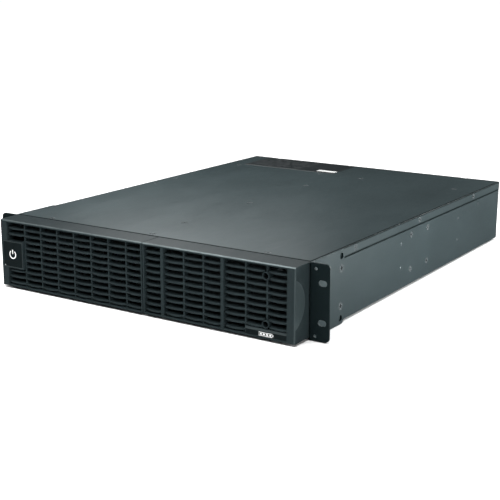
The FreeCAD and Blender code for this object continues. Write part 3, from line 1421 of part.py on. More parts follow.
def make_slot_cover():
    """The blanking plate of the card slot, held by two thumb screws."""
    rear = size.case_rear
    z = size.card_z
    ends = (size.card_left - size.thumb_out, size.card_right + size.thumb_out)
    thick = 1.2
    plate = box("slot_plate", (ends[0] - 5, rear, z - 13), (ends[1] + 5, rear + thick, z + 13))
    holes = [cylinder(f"slot_hole_{i}", "Y", (x, rear - 1, z), 4, 1.7) for i, x in enumerate(ends)]
    node("network_slot_cover", cut("network_slot_cover", plate, holes))
    head = size.rear_reach - rear - thick
    screw = fuse("thumb_screw", [
        cylinder("thumb_head", "Z", (0, 0, 0), head, 4),
        cylinder("thumb_shank", "-Z", (0, 0, 0), 6, 1.5),
    ])
    slot = box("thumb_slot", (-5, -0.6, head - 1.4), (5, 0.6, head + 1))
    master = cut("thumb_screw_slotted", screw, [slot])
    places = [((x, rear + thick, z), "Y") for x in ends]
    node("slot_cover_screws", copies("slot_cover_screws", master, places))


def make_battery_connector():
    """The two-way connector for a further battery cabinet."""
    x, z = size.inlet_x, size.pack_z
    wide, high = size.pack_half_wide, size.pack_half_high
    rear = size.case_rear
    block = fuse("pack_blank", [
        box("pack_block", (x - wide, rear - 16, z - high), (x + wide, rear + 6, z + high)),
        box("pack_flange", (x - 19, rear, z - 12), (x + 19, rear + 1.5, z + 12)),
    ])
    holes = [
        box(f"pack_hole_{i}", (x + dx - 6, rear - 10, z - 6), (x + dx + 6, rear + 7, z + 6))
        for i, dx in enumerate((-7.5, 7.5))
    ]
    node("external_battery_connector", cut("external_battery_connector", block, holes))


# ---------------------------------------------------------------- the unit

make_base_tray()
make_side_rivets()
make_top_cover()
make_front_panel()
make_rear_panel()
make_battery_bay()
make_drawer_guides()
make_rack_ears()
make_case_fasteners()
make_rubber_feet()
make_labels()
make_left_bezel()
make_right_bezel()
make_bezel_trim()
make_drawer()
make_main_board()
make_heatsinks()
make_board_parts()
make_fans()
make_power_inlet()
make_outlets()
make_breakers()
make_rocker_switch()
make_data_ports()
make_slot_cover()
make_battery_connector()
doc.recompute()

faults = [o.Name for o in doc.Objects if {"Invalid", "Error"} & set(o.State)]
faults += [o.Label for o in nodes if o.Shape.isNull() or not o.Shape.isValid()]
if faults:
    raise SystemExit(f"these objects failed: {faults}")

os.makedirs("parts", exist_ok=True)
for item in nodes:
    item.Shape.exportStep(os.path.join("parts", f"{item.Label}.step"))
    bounds = item.Shape.BoundBox
    print(f"{item.Label:28s} solids {len(item.Shape.Solids):3d}  volume {item.Shape.Volume / 1000:9.1f} cm3"
          f"  X {bounds.XMin:8.2f} {bounds.XMax:8.2f}  Y {bounds.YMin:8.2f} {bounds.YMax:8.2f}"
          f"  Z {bounds.ZMin:7.2f} {bounds.ZMax:7.2f}")
print(len(nodes), "nodes")
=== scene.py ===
import json
import math

import bmesh
import bpy
from mathutils import Matrix, Vector


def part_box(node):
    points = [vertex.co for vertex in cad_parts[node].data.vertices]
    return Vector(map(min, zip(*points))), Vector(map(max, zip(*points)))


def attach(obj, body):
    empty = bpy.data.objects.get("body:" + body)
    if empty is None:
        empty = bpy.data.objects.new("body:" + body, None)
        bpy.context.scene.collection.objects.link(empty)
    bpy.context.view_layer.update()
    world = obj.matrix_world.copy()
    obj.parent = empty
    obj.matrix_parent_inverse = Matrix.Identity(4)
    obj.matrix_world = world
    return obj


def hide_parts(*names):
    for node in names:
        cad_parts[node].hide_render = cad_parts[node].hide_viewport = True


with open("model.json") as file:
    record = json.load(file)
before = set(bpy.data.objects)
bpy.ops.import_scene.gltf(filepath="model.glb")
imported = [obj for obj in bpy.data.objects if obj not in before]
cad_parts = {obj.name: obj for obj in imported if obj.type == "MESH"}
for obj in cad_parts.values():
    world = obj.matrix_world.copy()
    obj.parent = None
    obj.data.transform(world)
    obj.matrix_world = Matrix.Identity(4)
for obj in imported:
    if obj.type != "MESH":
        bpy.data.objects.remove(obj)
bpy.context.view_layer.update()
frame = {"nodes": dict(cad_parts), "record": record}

MM = 0.001
nodes = frame["nodes"]


def millimetres(node):
    """Lowest and highest corner of a CAD node, in millimetres."""
    low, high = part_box(node)
    return [v / MM for v in low], [v / MM for v in high]


# ---------------------------------------------------------------- materials


class Tree:
    """A short way to write a material's nodes: every call returns an output socket."""

    def __init__(self, name):
        self.material = bpy.data.materials.new(name)
        self.material.use_nodes = True
        self.tree = self.material.node_tree
        self.shader = self.tree.nodes["Principled BSDF"]
        self.place = self.add("ShaderNodeTexCoord").outputs["Object"]

    def add(self, kind, **settings):
        item = self.tree.nodes.new(kind)
        for key, value in settings.items():
            setattr(item, key, value)
        return item

    def feed(self, socket, value):
        if hasattr(value, "is_output"):
            self.tree.links.new(value, socket)
        else:
            socket.default_value = value

    def noise(self, scale, detail=3.0, roughness=0.55, stretch=None):
        """Noise with features of about 1 / scale metres, between 0 and 1."""
        place = self.place
        if stretch:
            mapping = self.add("ShaderNodeMapping")
            self.feed(mapping.inputs["Vector"], place)
            mapping.inputs["Scale"].default_value = stretch
            place = mapping.outputs["Vector"]
        item = self.add("ShaderNodeTexNoise")
        self.feed(item.inputs["Vector"], place)
        item.inputs["Scale"].default_value = scale
        item.inputs["Detail"].default_value = detail
        item.inputs["Roughness"].default_value = roughness
        return item.outputs["Fac"]

    def math(self, operation, first, second=0.0, clamp=False):
        """A math node on two values or sockets."""
        item = self.add("ShaderNodeMath", operation=operation, use_clamp=clamp)
        self.feed(item.inputs[0], first)
        self.feed(item.inputs[1], second)
        return item.outputs[0]

    def between(self, value, low, high, start=0.0, end=1.0):
        """value from low..high spread over start..end, clamped."""
        item = self.add("ShaderNodeMapRange")
        for socket, number in zip(item.inputs, (value, low, high, start, end)):
            self.feed(socket, number)
        return item.outputs["Result"]

    def mix(self, factor, first, second):
        """Colour first where factor is 0, second where it is 1."""
        item = self.add("ShaderNodeMix", data_type="RGBA")
        self.feed(item.inputs["Factor"], factor)
        for key, value in (("A", first), ("B", second)):
            socket = next(s for s in item.inputs if s.name == key and s.type == "RGBA")
            self.feed(socket, value if hasattr(value, "is_output") else (*value, 1.0))
        return next(s for s in item.outputs if s.type == "RGBA")

    def axis(self, name):
        """One coordinate of the point, in metres."""
        item = self.add("ShaderNodeSeparateXYZ")
        self.feed(item.inputs[0], self.place)
        return item.outputs[name]

    def edges(self, low, high, width):
        """1 near the edges of a box given in metres, where two of its faces meet, else 0."""
        total = None
        for i, name in enumerate("XYZ"):
            value = self.axis(name)
            middle = (low[i] + high[i]) / 2
            half = (high[i] - low[i]) / 2
            off = self.math("ABSOLUTE", self.math("SUBTRACT", value, middle))
            close = self.between(off, half - width, half - width * 0.3)
            total = close if total is None else self.math("ADD", total, close)
        return self.math("SUBTRACT", total, 1.0, clamp=True)

    def bump(self, height, strength, distance):
        """Fine relief, with its depth in metres."""
        item = self.add("ShaderNodeBump")
        item.inputs["Strength"].default_value = strength
        item.inputs["Distance"].default_value = distance
        self.feed(item.inputs["Height"], height)
        self.feed(self.shader.inputs["Normal"], item.outputs["Normal"])

    def set(self, **values):
        """Sets the shader's sockets; an underscore in a name stands for a space."""
        for key, value in values.items():
            self.feed(self.shader.inputs[key.replace("_", " ")], value)


def shade(colour, factor):
    """A colour made lighter or darker."""
    return tuple(min(1.0, c * factor) for c in colour)


def coated(name, colour, roughness, grain=1500, relief=0.25, depth=0.00012, blotch=0.10, worn=None,
           box=None, shaded_seam=None):
    """Powder-coated or spark-textured surface with fine grain and faint clouds.

    worn is the colour of the wear along the edges of box, and the seam height marks a joint along which a dark
    band of painted shade stands in for the shadow in the gap.
    """
    t = Tree(name)
    fine = t.noise(grain, 4.0, 0.6)
    clouds = t.noise(9.0, 3.0, 0.5)
    base = t.mix(t.between(clouds, 0.3, 0.7), shade(colour, 1 - blotch), shade(colour, 1 + blotch))
    base = t.mix(t.between(fine, 0.35, 0.75, 0.0, 0.35), base, shade(colour, 1.6))
    smear = t.noise(28.0, 5.0, 0.65, stretch=(1.0, 0.35, 1.0))
    rough = t.between(smear, 0.3, 0.75, roughness - 0.05, roughness + 0.06)
    if worn and box:
        near = t.edges(box[0], box[1], 0.0016)
        patchy = t.between(t.noise(140.0, 5.0, 0.7), 0.52, 0.66)
        mask = t.math("MULTIPLY", near, patchy, clamp=True)
        base = t.mix(mask, base, worn)
        rough = t.math("SUBTRACT", rough, t.math("MULTIPLY", mask, 0.12))
    if shaded_seam:
        # painted shade: a dark band about 1.4 mm wide along the joint, wider than the real gap, stands in for
        # its shadow
        off = t.math("ABSOLUTE", t.math("SUBTRACT", t.axis("Z"), shaded_seam))
        base = t.mix(t.between(off, 0.0003, 0.0007, 0.85, 0.0), base, shade(colour, 0.1))
    t.set(Base_Color=base, Roughness=rough, Specular_Tint=TINT)
    pebbles = t.math("ADD", fine, t.math("MULTIPLY", t.noise(grain * 0.35, 2.0, 0.5), 0.8))
    t.bump(pebbles, relief, depth)
    return t


def paint_shade_on_bends(t, box, specular):
    """Darkens a coat with painted shade along the bends of a folded sheet, and makes it duller there."""
    bend = t.between(t.edges(box[0], box[1], 0.0028), 0.1, 0.7)
    plain = t.shader.inputs["Base Color"].links[0].from_socket
    # painted shade: the colour goes nearly black along the bends, damping the light they catch
    t.set(Base_Color=t.mix(t.math("MULTIPLY", bend, 0.75), plain, (0.004, 0.006, 0.006)))
    t.set(Specular_IOR_Level=t.between(bend, 0.0, 1.0, specular, 0.02))


def bezel_plastic(name, box, colour, edge):
    """Spark-textured black plastic with a painted highlight, broken up by patchy noise, along its upper front
    edge, stronger towards the right, and on its outer front corners.
    """
    t = coated(name, colour, 0.42, grain=1900, relief=0.18, blotch=0.06)
    front, top, side = box[0][1], box[1][2], box[1][0]
    x, y, z = (t.axis(name) for name in "XYZ")
    # painted highlight: a lighter colour where the rounded upper front edge and the outer front corners catch
    # the light
    near = t.between(y, front + 0.0008, front + 0.0016, 1.0, 0.0)
    upper = t.math("MULTIPLY", t.between(z, top - 0.0016, top - 0.0009), t.between(x, -0.12, 0.12, 0.35, 1.0))
    corner = t.between(t.math("ABSOLUTE", x), side - 0.0016, side - 0.0008, 0.0, 0.12)
    patchy = t.between(t.noise(90.0, 4.0, 0.6), 0.25, 0.6, 0.7, 1.0)
    painted_highlight = t.math("MULTIPLY", near, t.math("MAXIMUM", upper, corner))
    painted_highlight = t.math("MULTIPLY", painted_highlight, patchy, clamp=True)
    plain = t.shader.inputs["Base Color"].links[0].from_socket
    t.set(Base_Color=t.mix(painted_highlight, plain, edge))
    return t


def metal(name, colour, roughness, brushed=None, grain=900):
    """Bare or plated metal with faint brushing and smears."""
    t = Tree(name)
    lines = t.noise(grain, 3.0, 0.6, stretch=brushed or (1.0, 1.0, 1.0))
    clouds = t.noise(35.0, 4.0, 0.6)
    base = t.mix(t.between(clouds, 0.3, 0.7), shade(colour, 0.86), shade(colour, 1.08))
    rough = t.between(t.math("ADD", lines, clouds), 0.7, 1.3, roughness - 0.08, roughness + 0.1)
    t.set(Base_Color=base, Roughness=rough, Metallic=1.0)
    t.bump(lines, 0.12, 0.00005)
    return t


def moulded(name, colour, roughness, grain=1100, relief=0.1, blotch=0.12, **extra):
    """Moulded plastic, rubber or enamel: fine grain, faint flow clouds and handling smears."""
    t = Tree(name)
    fine = t.noise(grain, 3.0, 0.55)
    clouds = t.noise(22.0, 4.0, 0.55)
    base = t.mix(t.between(clouds, 0.3, 0.7), shade(colour, 1 - blotch), shade(colour, 1 + blotch))
    rough = t.between(t.noise(55.0, 5.0, 0.7), 0.3, 0.75, roughness - 0.07, roughness + 0.08)
    t.set(Base_Color=base, Roughness=rough, **extra)
    t.bump(fine, relief, 0.0001)
    return t


def circuit_board(name):
    """Green solder mask with faint copper tracks under it."""
    t = Tree(name)
    tracks = t.between(t.noise(420.0, 1.0, 0.4, stretch=(1.0, 0.12, 1.0)), 0.5, 0.53)
    across = t.between(t.noise(360.0, 1.0, 0.4, stretch=(0.12, 1.0, 1.0)), 0.53, 0.56)
    lit = t.math("MAXIMUM", tracks, across)
    base = t.mix(lit, (0.012, 0.075, 0.035), (0.03, 0.16, 0.07))
    t.set(Base_Color=base, Roughness=t.between(t.noise(90.0), 0.3, 0.7, 0.28, 0.42))
    t.bump(lit, 0.3, 0.00006)
    return t


def laminated(name):
    """Stacked steel sheets: fine lines across Y and a little varnish."""
    t = Tree(name)
    lines = t.math("FRACT", t.math("MULTIPLY", t.axis("Y"), 1000 / 0.9))
    gap = t.between(lines, 0.0, 0.18)
    base = t.mix(gap, (0.02, 0.02, 0.022), (0.12, 0.12, 0.125))
    t.set(Base_Color=base, Roughness=t.between(t.noise(60.0), 0.3, 0.7, 0.38, 0.55), Metallic=0.6)
    t.bump(gap, 0.5, 0.0002)
    return t


def winding(name):
    """Enamelled copper wire laid in rows, with painted shade in the grooves between the wires and a painted
    highlight along their crests.
    """
    t = Tree(name)
    wave = t.math("SINE", t.math("MULTIPLY", t.axis("Z"), 2 * math.pi / 0.0012))
    height = t.between(wave, -1.0, 1.0)
    # painted shade and highlight: the colour follows the height of each wire, dark in the grooves and bright on
    # the crests
    base = t.mix(height, (0.16, 0.045, 0.012), (0.62, 0.24, 0.08))
    t.set(Base_Color=base, Roughness=t.between(t.noise(80.0), 0.3, 0.7, 0.25, 0.4), Metallic=0.55)
    t.bump(height, 0.7, 0.0004)
    return t


def label_film(name, box):
    """Dark printed film: a light line along its front edge and faint, unreadable rows."""
    t = Tree(name)
    x, y = t.axis("X"), t.axis("Y")
    front = box[0][1]
    edge = t.math("LESS_THAN", y, front + 0.0009)
    row = t.math("FRACT", t.math("MULTIPLY", t.math("SUBTRACT", y, front), 1000 / 6.5))
    rows = t.math("MULTIPLY", t.math("GREATER_THAN", row, 0.45), t.math("LESS_THAN", row, 0.75))
    breaks = t.math("GREATER_THAN", t.noise(160.0, 2.0, 0.5, stretch=(1.0, 0.4, 1.0)), 0.47)
    column = t.math("LESS_THAN", x, box[0][0] + (box[1][0] - box[0][0]) * 0.62)
    inked = t.math("MULTIPLY", t.math("MULTIPLY", rows, breaks), column)
    base = t.mix(t.math("MULTIPLY", inked, 0.22), (0.016, 0.020, 0.022), (0.30, 0.31, 0.31))
    base = t.mix(t.math("MULTIPLY", edge, 0.6), base, (0.32, 0.33, 0.33))
    t.set(Base_Color=base, Roughness=t.between(t.noise(60.0), 0.3, 0.7, 0.36, 0.48), Specular_IOR_Level=0.3)
    t.bump(t.noise(500.0), 0.03, 0.0001)
    return t


COAT = (0.031, 0.043, 0.046)
TINT = (0.74, 0.98, 1.0, 1.0)
COATED_SHEETS = ("top_cover", "base_tray", "rack_ear_left", "rack_ear_right", "rear_panel")
COAT_SPECULAR = 0.35
EAR_FACE_TILT = -0.7
EAR_FACE_Y = -0.2735
coat_boxes = {name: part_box(name) for name in COATED_SHEETS}
# the cover and the tray get the band of painted shade at the cover's lowest edge
cover_seam = coat_boxes["top_cover"][0][2]
coats = {
    name: coated(f"powder_coat_{name}", COAT, 0.40, worn=(0.08, 0.09, 0.092), box=box,
                 shaded_seam=cover_seam if name in ("top_cover", "base_tray") else None)
    for name, box in coat_boxes.items()
}
for coat in coats.values():
    coat.set(Specular_IOR_Level=COAT_SPECULAR)
# painted shade along the cover's bends
paint_shade_on_bends(coats["top_cover"], coat_boxes["top_cover"], COAT_SPECULAR)
# the last colour is the painted highlight along the bezel's upper front edge and outer front corners
bezel_coat = bezel_plastic("bezel_plastic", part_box("bezel_right"), (0.016, 0.023, 0.025), (0.19, 0.23, 0.235))
bezel_coat.set(Specular_IOR_Level=0.15)
# a lighter, glossier copy of the bezel plastic for the finger scoop: the lighter colour is painted light for
# the scoop catching more light than the flat side
scoop_lit_coat = coated("bezel_scoop_painted_light", (0.029, 0.039, 0.041), 0.32, grain=1900, relief=0.05)
scoop_lit_coat.set(Specular_IOR_Level=0.5)
# a much darker copy of the coat for the front faces of the rack ears: painted shade
ear_front_shade_coat = coated("ear_front_painted_shade", (0.005, 0.009, 0.010), 0.5)
ear_front_shade_coat.set(Specular_IOR_Level=0.12)
# a near-black copy of the coat for the drawer front and front panel behind the grille: painted shade for the
# dark inside of the bezel
inside_shade_coat = coated("inside_shade_coat", (0.008, 0.009, 0.009), 0.6)
inside_shade_coat.set(Specular_IOR_Level=0.2)
badge_coat = moulded("badge_satin", (0.006, 0.010, 0.011), 0.40, Specular_IOR_Level=0.12)
# a lighter copy of the badge plastic for the badge's rim and the name plate's sloping ledge: painted highlight
# where these edges catch the light
badge_lit_rim_coat = moulded("badge_rim_painted_highlight", (0.030, 0.040, 0.042), 0.40, Specular_IOR_Level=0.2)
materials = {
    "inner_steel": metal("zinc_plated_steel", (0.42, 0.43, 0.44), 0.38, brushed=(1.0, 0.05, 1.0)),
    "black_screw": coated("black_screw", (0.075, 0.087, 0.090), 0.26, grain=2500, relief=0.1),
    "bright_steel": metal("nickel_plated_steel", (0.55, 0.56, 0.57), 0.27),
    "rubber": moulded("foot_rubber", (0.016, 0.016, 0.017), 0.72, grain=700, relief=0.25),
    "label_dark": label_film("label_film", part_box("rating_label")),
    "label_white": moulded("sticker_paper", (0.78, 0.79, 0.78), 0.52, relief=0.05, blotch=0.03),
    "board_green": circuit_board("solder_mask"),
    "heatsink_aluminium": metal("extruded_aluminium", (0.62, 0.63, 0.64), 0.34, brushed=(1.0, 0.04, 1.0)),
    "component_black": moulded("component_epoxy", (0.014, 0.014, 0.015), 0.42),
    "capacitor_sleeve": moulded("capacitor_sleeve", (0.018, 0.022, 0.05), 0.3),
    "core_steel": laminated("steel_laminations"),
    "copper_winding": winding("enamelled_copper"),
    "copper_strap": metal("tinned_copper", (0.66, 0.42, 0.28), 0.3),
    "connector_plastic": moulded("connector_nylon", (0.013, 0.014, 0.015), 0.40, grain=1400, relief=0.14),
    "button_black": moulded("button_plastic", (0.012, 0.012, 0.013), 0.28),
    "contact_brass": metal("plated_brass", (0.68, 0.58, 0.36), 0.26),
    "port_metal": metal("stamped_shell", (0.52, 0.53, 0.54), 0.3),
    "terminal_green": moulded("terminal_green", (0.012, 0.16, 0.045), 0.42),
    "battery_case": moulded("battery_case", (0.035, 0.038, 0.042), 0.5, grain=900, relief=0.2),
    "lead_black": moulded("lead_black", (0.012, 0.012, 0.013), 0.45),
    "lead_red": moulded("lead_red", (0.33, 0.012, 0.012), 0.42),
    "light_lens": moulded("light_lens", (0.30, 0.34, 0.34), 0.2),
}
white_print = moulded("white_print", (0.82, 0.83, 0.83), 0.4, relief=0.05, blotch=0.02)
slot_coat = coated("blanking_plate_coat", COAT, 0.42)

slot_of = {row["node"]: row["material_slot"] for row in frame["record"]["subparts"]}


def paint(item, tree):
    """Gives an object one material."""
    item.data.materials.clear()
    item.data.materials.append(tree.material)


for name, item in nodes.items():
    slot = slot_of[name]
    if name in ("rack_ear_left", "rack_ear_right"):
        paint(item, coats[name])
        # faces that look forward take the darker copy as painted shade
        item.data.materials.append(ear_front_shade_coat.material)
        for face in item.data.polygons:
            face.material_index = int(face.normal.y < EAR_FACE_TILT or face.center.y < EAR_FACE_Y)
    elif name in ("drawer_front", "front_panel"):
        # painted shade: the parts seen through the grille get the near-black copy
        paint(item, inside_shade_coat)
    elif name in coats:
        paint(item, coats[name])
    elif slot == "bezel_plastic":
        paint(item, bezel_coat)
    elif slot == "badge_gloss":
        paint(item, badge_coat)
    elif slot == "slot_plate_steel":
        paint(item, slot_coat)
    else:
        paint(item, materials[slot])


# ---------------------------------------------------------------- mesh helpers


def finish_mesh(name, bm, body, tree, smooth=35.0):
    """Turns a bmesh in millimetres into a piece that rides on a body."""
    bmesh.ops.recalc_face_normals(bm, faces=bm.faces)
    mesh = bpy.data.meshes.new(name)
    bm.to_mesh(mesh)
    bm.free()
    mesh.transform(Matrix.Scale(MM, 4))
    item = bpy.data.objects.new(name, mesh)
    bpy.context.scene.collection.objects.link(item)
    paint(item, tree)
    smooth_by_angle(item, smooth)
    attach(item, body)
    return item


def smooth_by_angle(item, degrees):
    """Shades an object smooth, except over edges sharper than the angle."""
    mesh = item.data
    mesh.polygons.foreach_set("use_smooth", [True] * len(mesh.polygons))
    mesh.set_sharp_from_angle(angle=math.radians(degrees))


def bevel(item, width, segments=2, angle=35.0):
    """Rounds an object's sharp edges, in millimetres."""
    modifier = item.modifiers.new("rounded_edges", "BEVEL")
    modifier.width = width * MM
    modifier.segments = segments
    modifier.limit_method = "ANGLE"
    modifier.angle_limit = math.radians(angle)
    modifier.harden_normals = False
    modifier.use_clamp_overlap = True
    return modifier


def soften(name, width=0.3, segments=2, angle=40.0):
    """Joins a CAD node's split vertices and rounds its edges with modifiers."""
    item = nodes[name]
    weld = item.modifiers.new("weld", "WELD")
    weld.merge_threshold = 0.000002
    bevel(item, width, segments, angle)


def block_solid(bm, xs, ys, zs, filled):
    """The skin of the cells of a three-way grid for which filled(x, y, z) is true."""
    corners = {}

    def corner(i, j, k):
        if (i, j, k) not in corners:
            corners[i, j, k] = bm.verts.new((xs[i], ys[j], zs[k]))
        return corners[i, j, k]

    def inside(i, j, k):
        if not (0 <= i < len(xs) - 1 and 0 <= j < len(ys) - 1 and 0 <= k < len(zs) - 1):
            return False
        return filled((xs[i] + xs[i + 1]) / 2, (ys[j] + ys[j + 1]) / 2, (zs[k] + zs[k + 1]) / 2)

    for i in range(len(xs) - 1):
        for j in range(len(ys) - 1):
            for k in range(len(zs) - 1):
                if not inside(i, j, k):
                    continue
                if not inside(i - 1, j, k):
                    bm.faces.new([corner(i, j + b, k + c) for b, c in ((0, 0), (0, 1), (1, 1), (1, 0))])
                if not inside(i + 1, j, k):
                    bm.faces.new([corner(i + 1, j + b, k + c) for b, c in ((0, 0), (1, 0), (1, 1), (0, 1))])
                if not inside(i, j - 1, k):
                    bm.faces.new([corner(i + a, j, k + c) for a, c in ((0, 0), (1, 0), (1, 1), (0, 1))])
                if not inside(i, j + 1, k):
                    bm.faces.new([corner(i + a, j + 1, k + c) for a, c in ((0, 0), (0, 1), (1, 1), (1, 0))])
                if not inside(i, j, k - 1):
                    bm.faces.new([corner(i + a, j + b, k) for a, b in ((0, 0), (0, 1), (1, 1), (1, 0))])
                if not inside(i, j, k + 1):
                    bm.faces.new([corner(i + a, j + b, k + 1) for a, b in ((0, 0), (1, 0), (1, 1), (0, 1))])


def loft(bm, rings, closed_ends=True):
    """Joins rings of equal length into a tube, and caps its ends."""
    made = [[bm.verts.new(p) for p in ring] for ring in rings]
    count = len(made[0])
    for first, second in zip(made, made[1:]):
        for i in range(count):
            bm.faces.new((first[i], first[(i + 1) % count], second[(i + 1) % count], second[i]))
    if closed_ends:
        bm.faces.new(made[0][::-1])
        bm.faces.new(made[-1])
    return made


def turned(bm, profile, centre, axis="Y", segments=32):
    """A solid of revolution: profile is (distance along the axis, radius) pairs."""
    rings = []
    for along, radius in profile:
        ring = []
        for i in range(segments):
            a = 2 * math.pi * i / segments
            u, v = radius * math.cos(a), radius * math.sin(a)
            offset = {"X": (along, u, v), "Y": (u, along, v), "Z": (u, v, along)}[axis]
            ring.append(Vector(centre) + Vector(offset))
        rings.append(ring)
    loft(bm, rings)


def ring_solid(bm, centre, inner, outer, start, end, lip=0.3, segments=36):
    """A tube along Y with rounded rims, closed into itself."""
    profile = [
        (start, inner + lip), (start, outer - lip), (start + lip, outer), (end, outer), (end, inner),
        (start + lip, inner),
    ]
    rings = []
    for i in range(segments):
        a = 2 * math.pi * i / segments
        rings.append([
            bm.verts.new((centre[0] + r * math.cos(a), y, centre[1] + r * math.sin(a))) for y, r in profile
        ])
    count = len(profile)
    for i in range(segments):
        first, second = rings[i], rings[(i + 1) % segments]
        for j in range(count):
            bm.faces.new((first[j], first[(j + 1) % count], second[(j + 1) % count], second[j]))


# ---------------------------------------------------------------- bezel

# millimetres; places are X for bars and Z for slats and holes
BAR = 2.0
THICK_BAR = 3.8
STRIP = 10.2
RAIL_LOW = 2.2
RAIL_HIGH = 2.8
WALL = 2.5
RECESS = 3.2
GRILLE = 12.0
SLAT_FIRST = 7.7
SLAT_PITCH = 7.8
SLAT_COUNT = 10
SLAT_HIGH = 2.3
SLAT_DEEP = 7.0
SLAT_BULGE = 2.4
SLAT_RISE = 1.3
LEFT_BARS = [-177.6 + 26.9 * i for i in range(7)]
RIGHT_THIN = [67.4, 94.6, 151.2, 178.8]
RIGHT_THICK = [38.7, 121.9]
ACCESS_X = 178.2
ACCESS_Z = (19.0, 73.5)
ACCESS_RIM = 4.5
ACCESS_HOLE = 3.5
ACCESS_POCKET = 3.9
FLOOR_THICK = 1.8
SEAM_EASE = 0.3
SCOOP_Z = 46.0
SCOOP_RADIUS = 29.5
SCOOP_BACK = 8.5
SCOOP_DEPTH = 2.6
SCOOP_LIP = 1.6


def columns_between(left, right, bars):
    """The clear spans between bars given as (centre, width)."""
    spans = []
    start = left
    for centre, width in sorted(bars):
        spans.append((start, centre - width / 2))
        start = centre + width / 2
    spans.append((start, right))
    return spans


def slat_section():
    """The outline of a slat across its length: a blunt front, and a top that rises to a thin rounded tail."""
    half = SLAT_HIGH / 2
    soft = 0.45
    turns = [math.radians(d) for d in (0, 30, 60, 90)]
    upper = [(soft - soft * math.sin(a), half - soft + soft * math.cos(a)) for a in turns]
    lower = [(0.0, -half + soft), (0.1, -half + 0.2), (soft, -half)]
    raised = half + SLAT_RISE
    tail = [(SLAT_DEEP, raised - 0.7), (SLAT_DEEP, raised - 0.2), (SLAT_DEEP - 0.3, raised)]
    return lower + tail + upper


def add_slat(bm, start, end, z, front):
    """One slat between two bars, bowed forward in the middle."""
    steps = 10
    middle, half = (start + end) / 2, (end - start) / 2
    section = slat_section()
    rings = []
    for i in range(steps + 1):
        x = start + (end - start) * i / steps
        bow = SLAT_BULGE * (1 - ((x - middle) / half) ** 2)
        rings.append([(x, front + RECESS - bow + y, z + dz) for y, dz in section])
    loft(bm, rings)


def slat_pieces(bm, columns, front, blocks):
    """Every slat of a section, cut short where a solid block interrupts it."""
    for row in range(SLAT_COUNT):
        z = SLAT_FIRST + SLAT_PITCH * row
        for left, right in columns:
            start, end = left - 0.4, right + 0.4
            for block in blocks:
                start, end = block(start, end, z)
            if end - start > 1.0:
                add_slat(bm, start, end, z, front)


def round_front(bm, front, high, corner_x):
    """Rounds the long upper front edge and the outer front corner of a bezel section."""
    chosen = []
    for edge in bm.edges:
        a, b = (v.co for v in edge.verts)
        on_front = abs(a.y - front) < 1e-4 and abs(b.y - front) < 1e-4
        on_top = abs(a.z - high) < 1e-4 and abs(b.z - high) < 1e-4
        on_side = abs(a.x - corner_x) < 1e-4 and abs(b.x - corner_x) < 1e-4
        if on_front and (on_top or on_side):
            chosen.append(edge)
    bmesh.ops.bevel(bm, geom=chosen, offset=1.2, segments=4, profile=0.6, affect="EDGES", clamp_overlap=True)


def scoop_cutter(side, front, z_middle, radius, centre, depth, lip):
    """A closed dish, bounded in front by a flat wall behind the bezel's lip."""
    sphere = (radius ** 2 - centre ** 2) / (2 * depth)
    drop = math.sqrt(sphere ** 2 - radius ** 2)
    bm = bmesh.new()
    segments, rings = 96, 14
    reach = radius * 1.08
    middle = bm.verts.new((side - (sphere - drop), front - centre, z_middle))
    previous = None
    for j in range(1, rings + 1):
        r = reach * j / rings
        x = side - (math.sqrt(sphere ** 2 - r ** 2) - drop)
        ring = [
            bm.verts.new((x, front - centre + r * math.cos(2 * math.pi * i / segments),
                          z_middle + r * math.sin(2 * math.pi * i / segments)))
            for i in range(segments)
        ]
        for i in range(segments):
            if previous is None:
                bm.faces.new((middle, ring[i], ring[(i + 1) % segments]))
            else:
                bm.faces.new((previous[i], ring[i], ring[(i + 1) % segments], previous[(i + 1) % segments]))
        previous = ring
    top = [bm.verts.new((side + 3, v.co.y, v.co.z)) for v in previous]
    for i in range(segments):
        bm.faces.new((previous[i], top[i], top[(i + 1) % segments], previous[(i + 1) % segments]))
    bm.faces.new(top)
    everything = bm.verts[:] + bm.edges[:] + bm.faces[:]
    cut = bmesh.ops.bisect_plane(
        bm, geom=everything, plane_co=(0, lip, 0), plane_no=(0, 1, 0), clear_inner=True,
    )
    rim = [e for e in cut["geom_cut"] if isinstance(e, bmesh.types.BMEdge)]
    bmesh.ops.contextual_create(bm, geom=rim)
    bmesh.ops.recalc_face_normals(bm, faces=bm.faces)
    mesh = bpy.data.meshes.new("scoop_cutter")
    bm.to_mesh(mesh)
    bm.free()
    mesh.transform(Matrix.Scale(MM, 4))
    return bpy.data.objects.new("scoop_cutter", mesh)


def subtract(item, cutter):
    """Cuts one object out of another and keeps the result as the mesh."""
    scene = bpy.context.scene
    scene.collection.objects.link(cutter)
    modifier = item.modifiers.new("cut", "BOOLEAN")
    modifier.operation = "DIFFERENCE"
    modifier.solver = "EXACT"
    modifier.object = cutter
    apply_modifiers(item)
    bpy.data.objects.remove(cutter)


def apply_modifiers(item):
    """Makes what an object's modifiers give its own mesh."""
    depsgraph = bpy.context.evaluated_depsgraph_get()
    mesh = bpy.data.meshes.new_from_object(item.evaluated_get(depsgraph))
    item.modifiers.clear()
    old = item.data
    item.data = mesh
    bpy.data.meshes.remove(old)


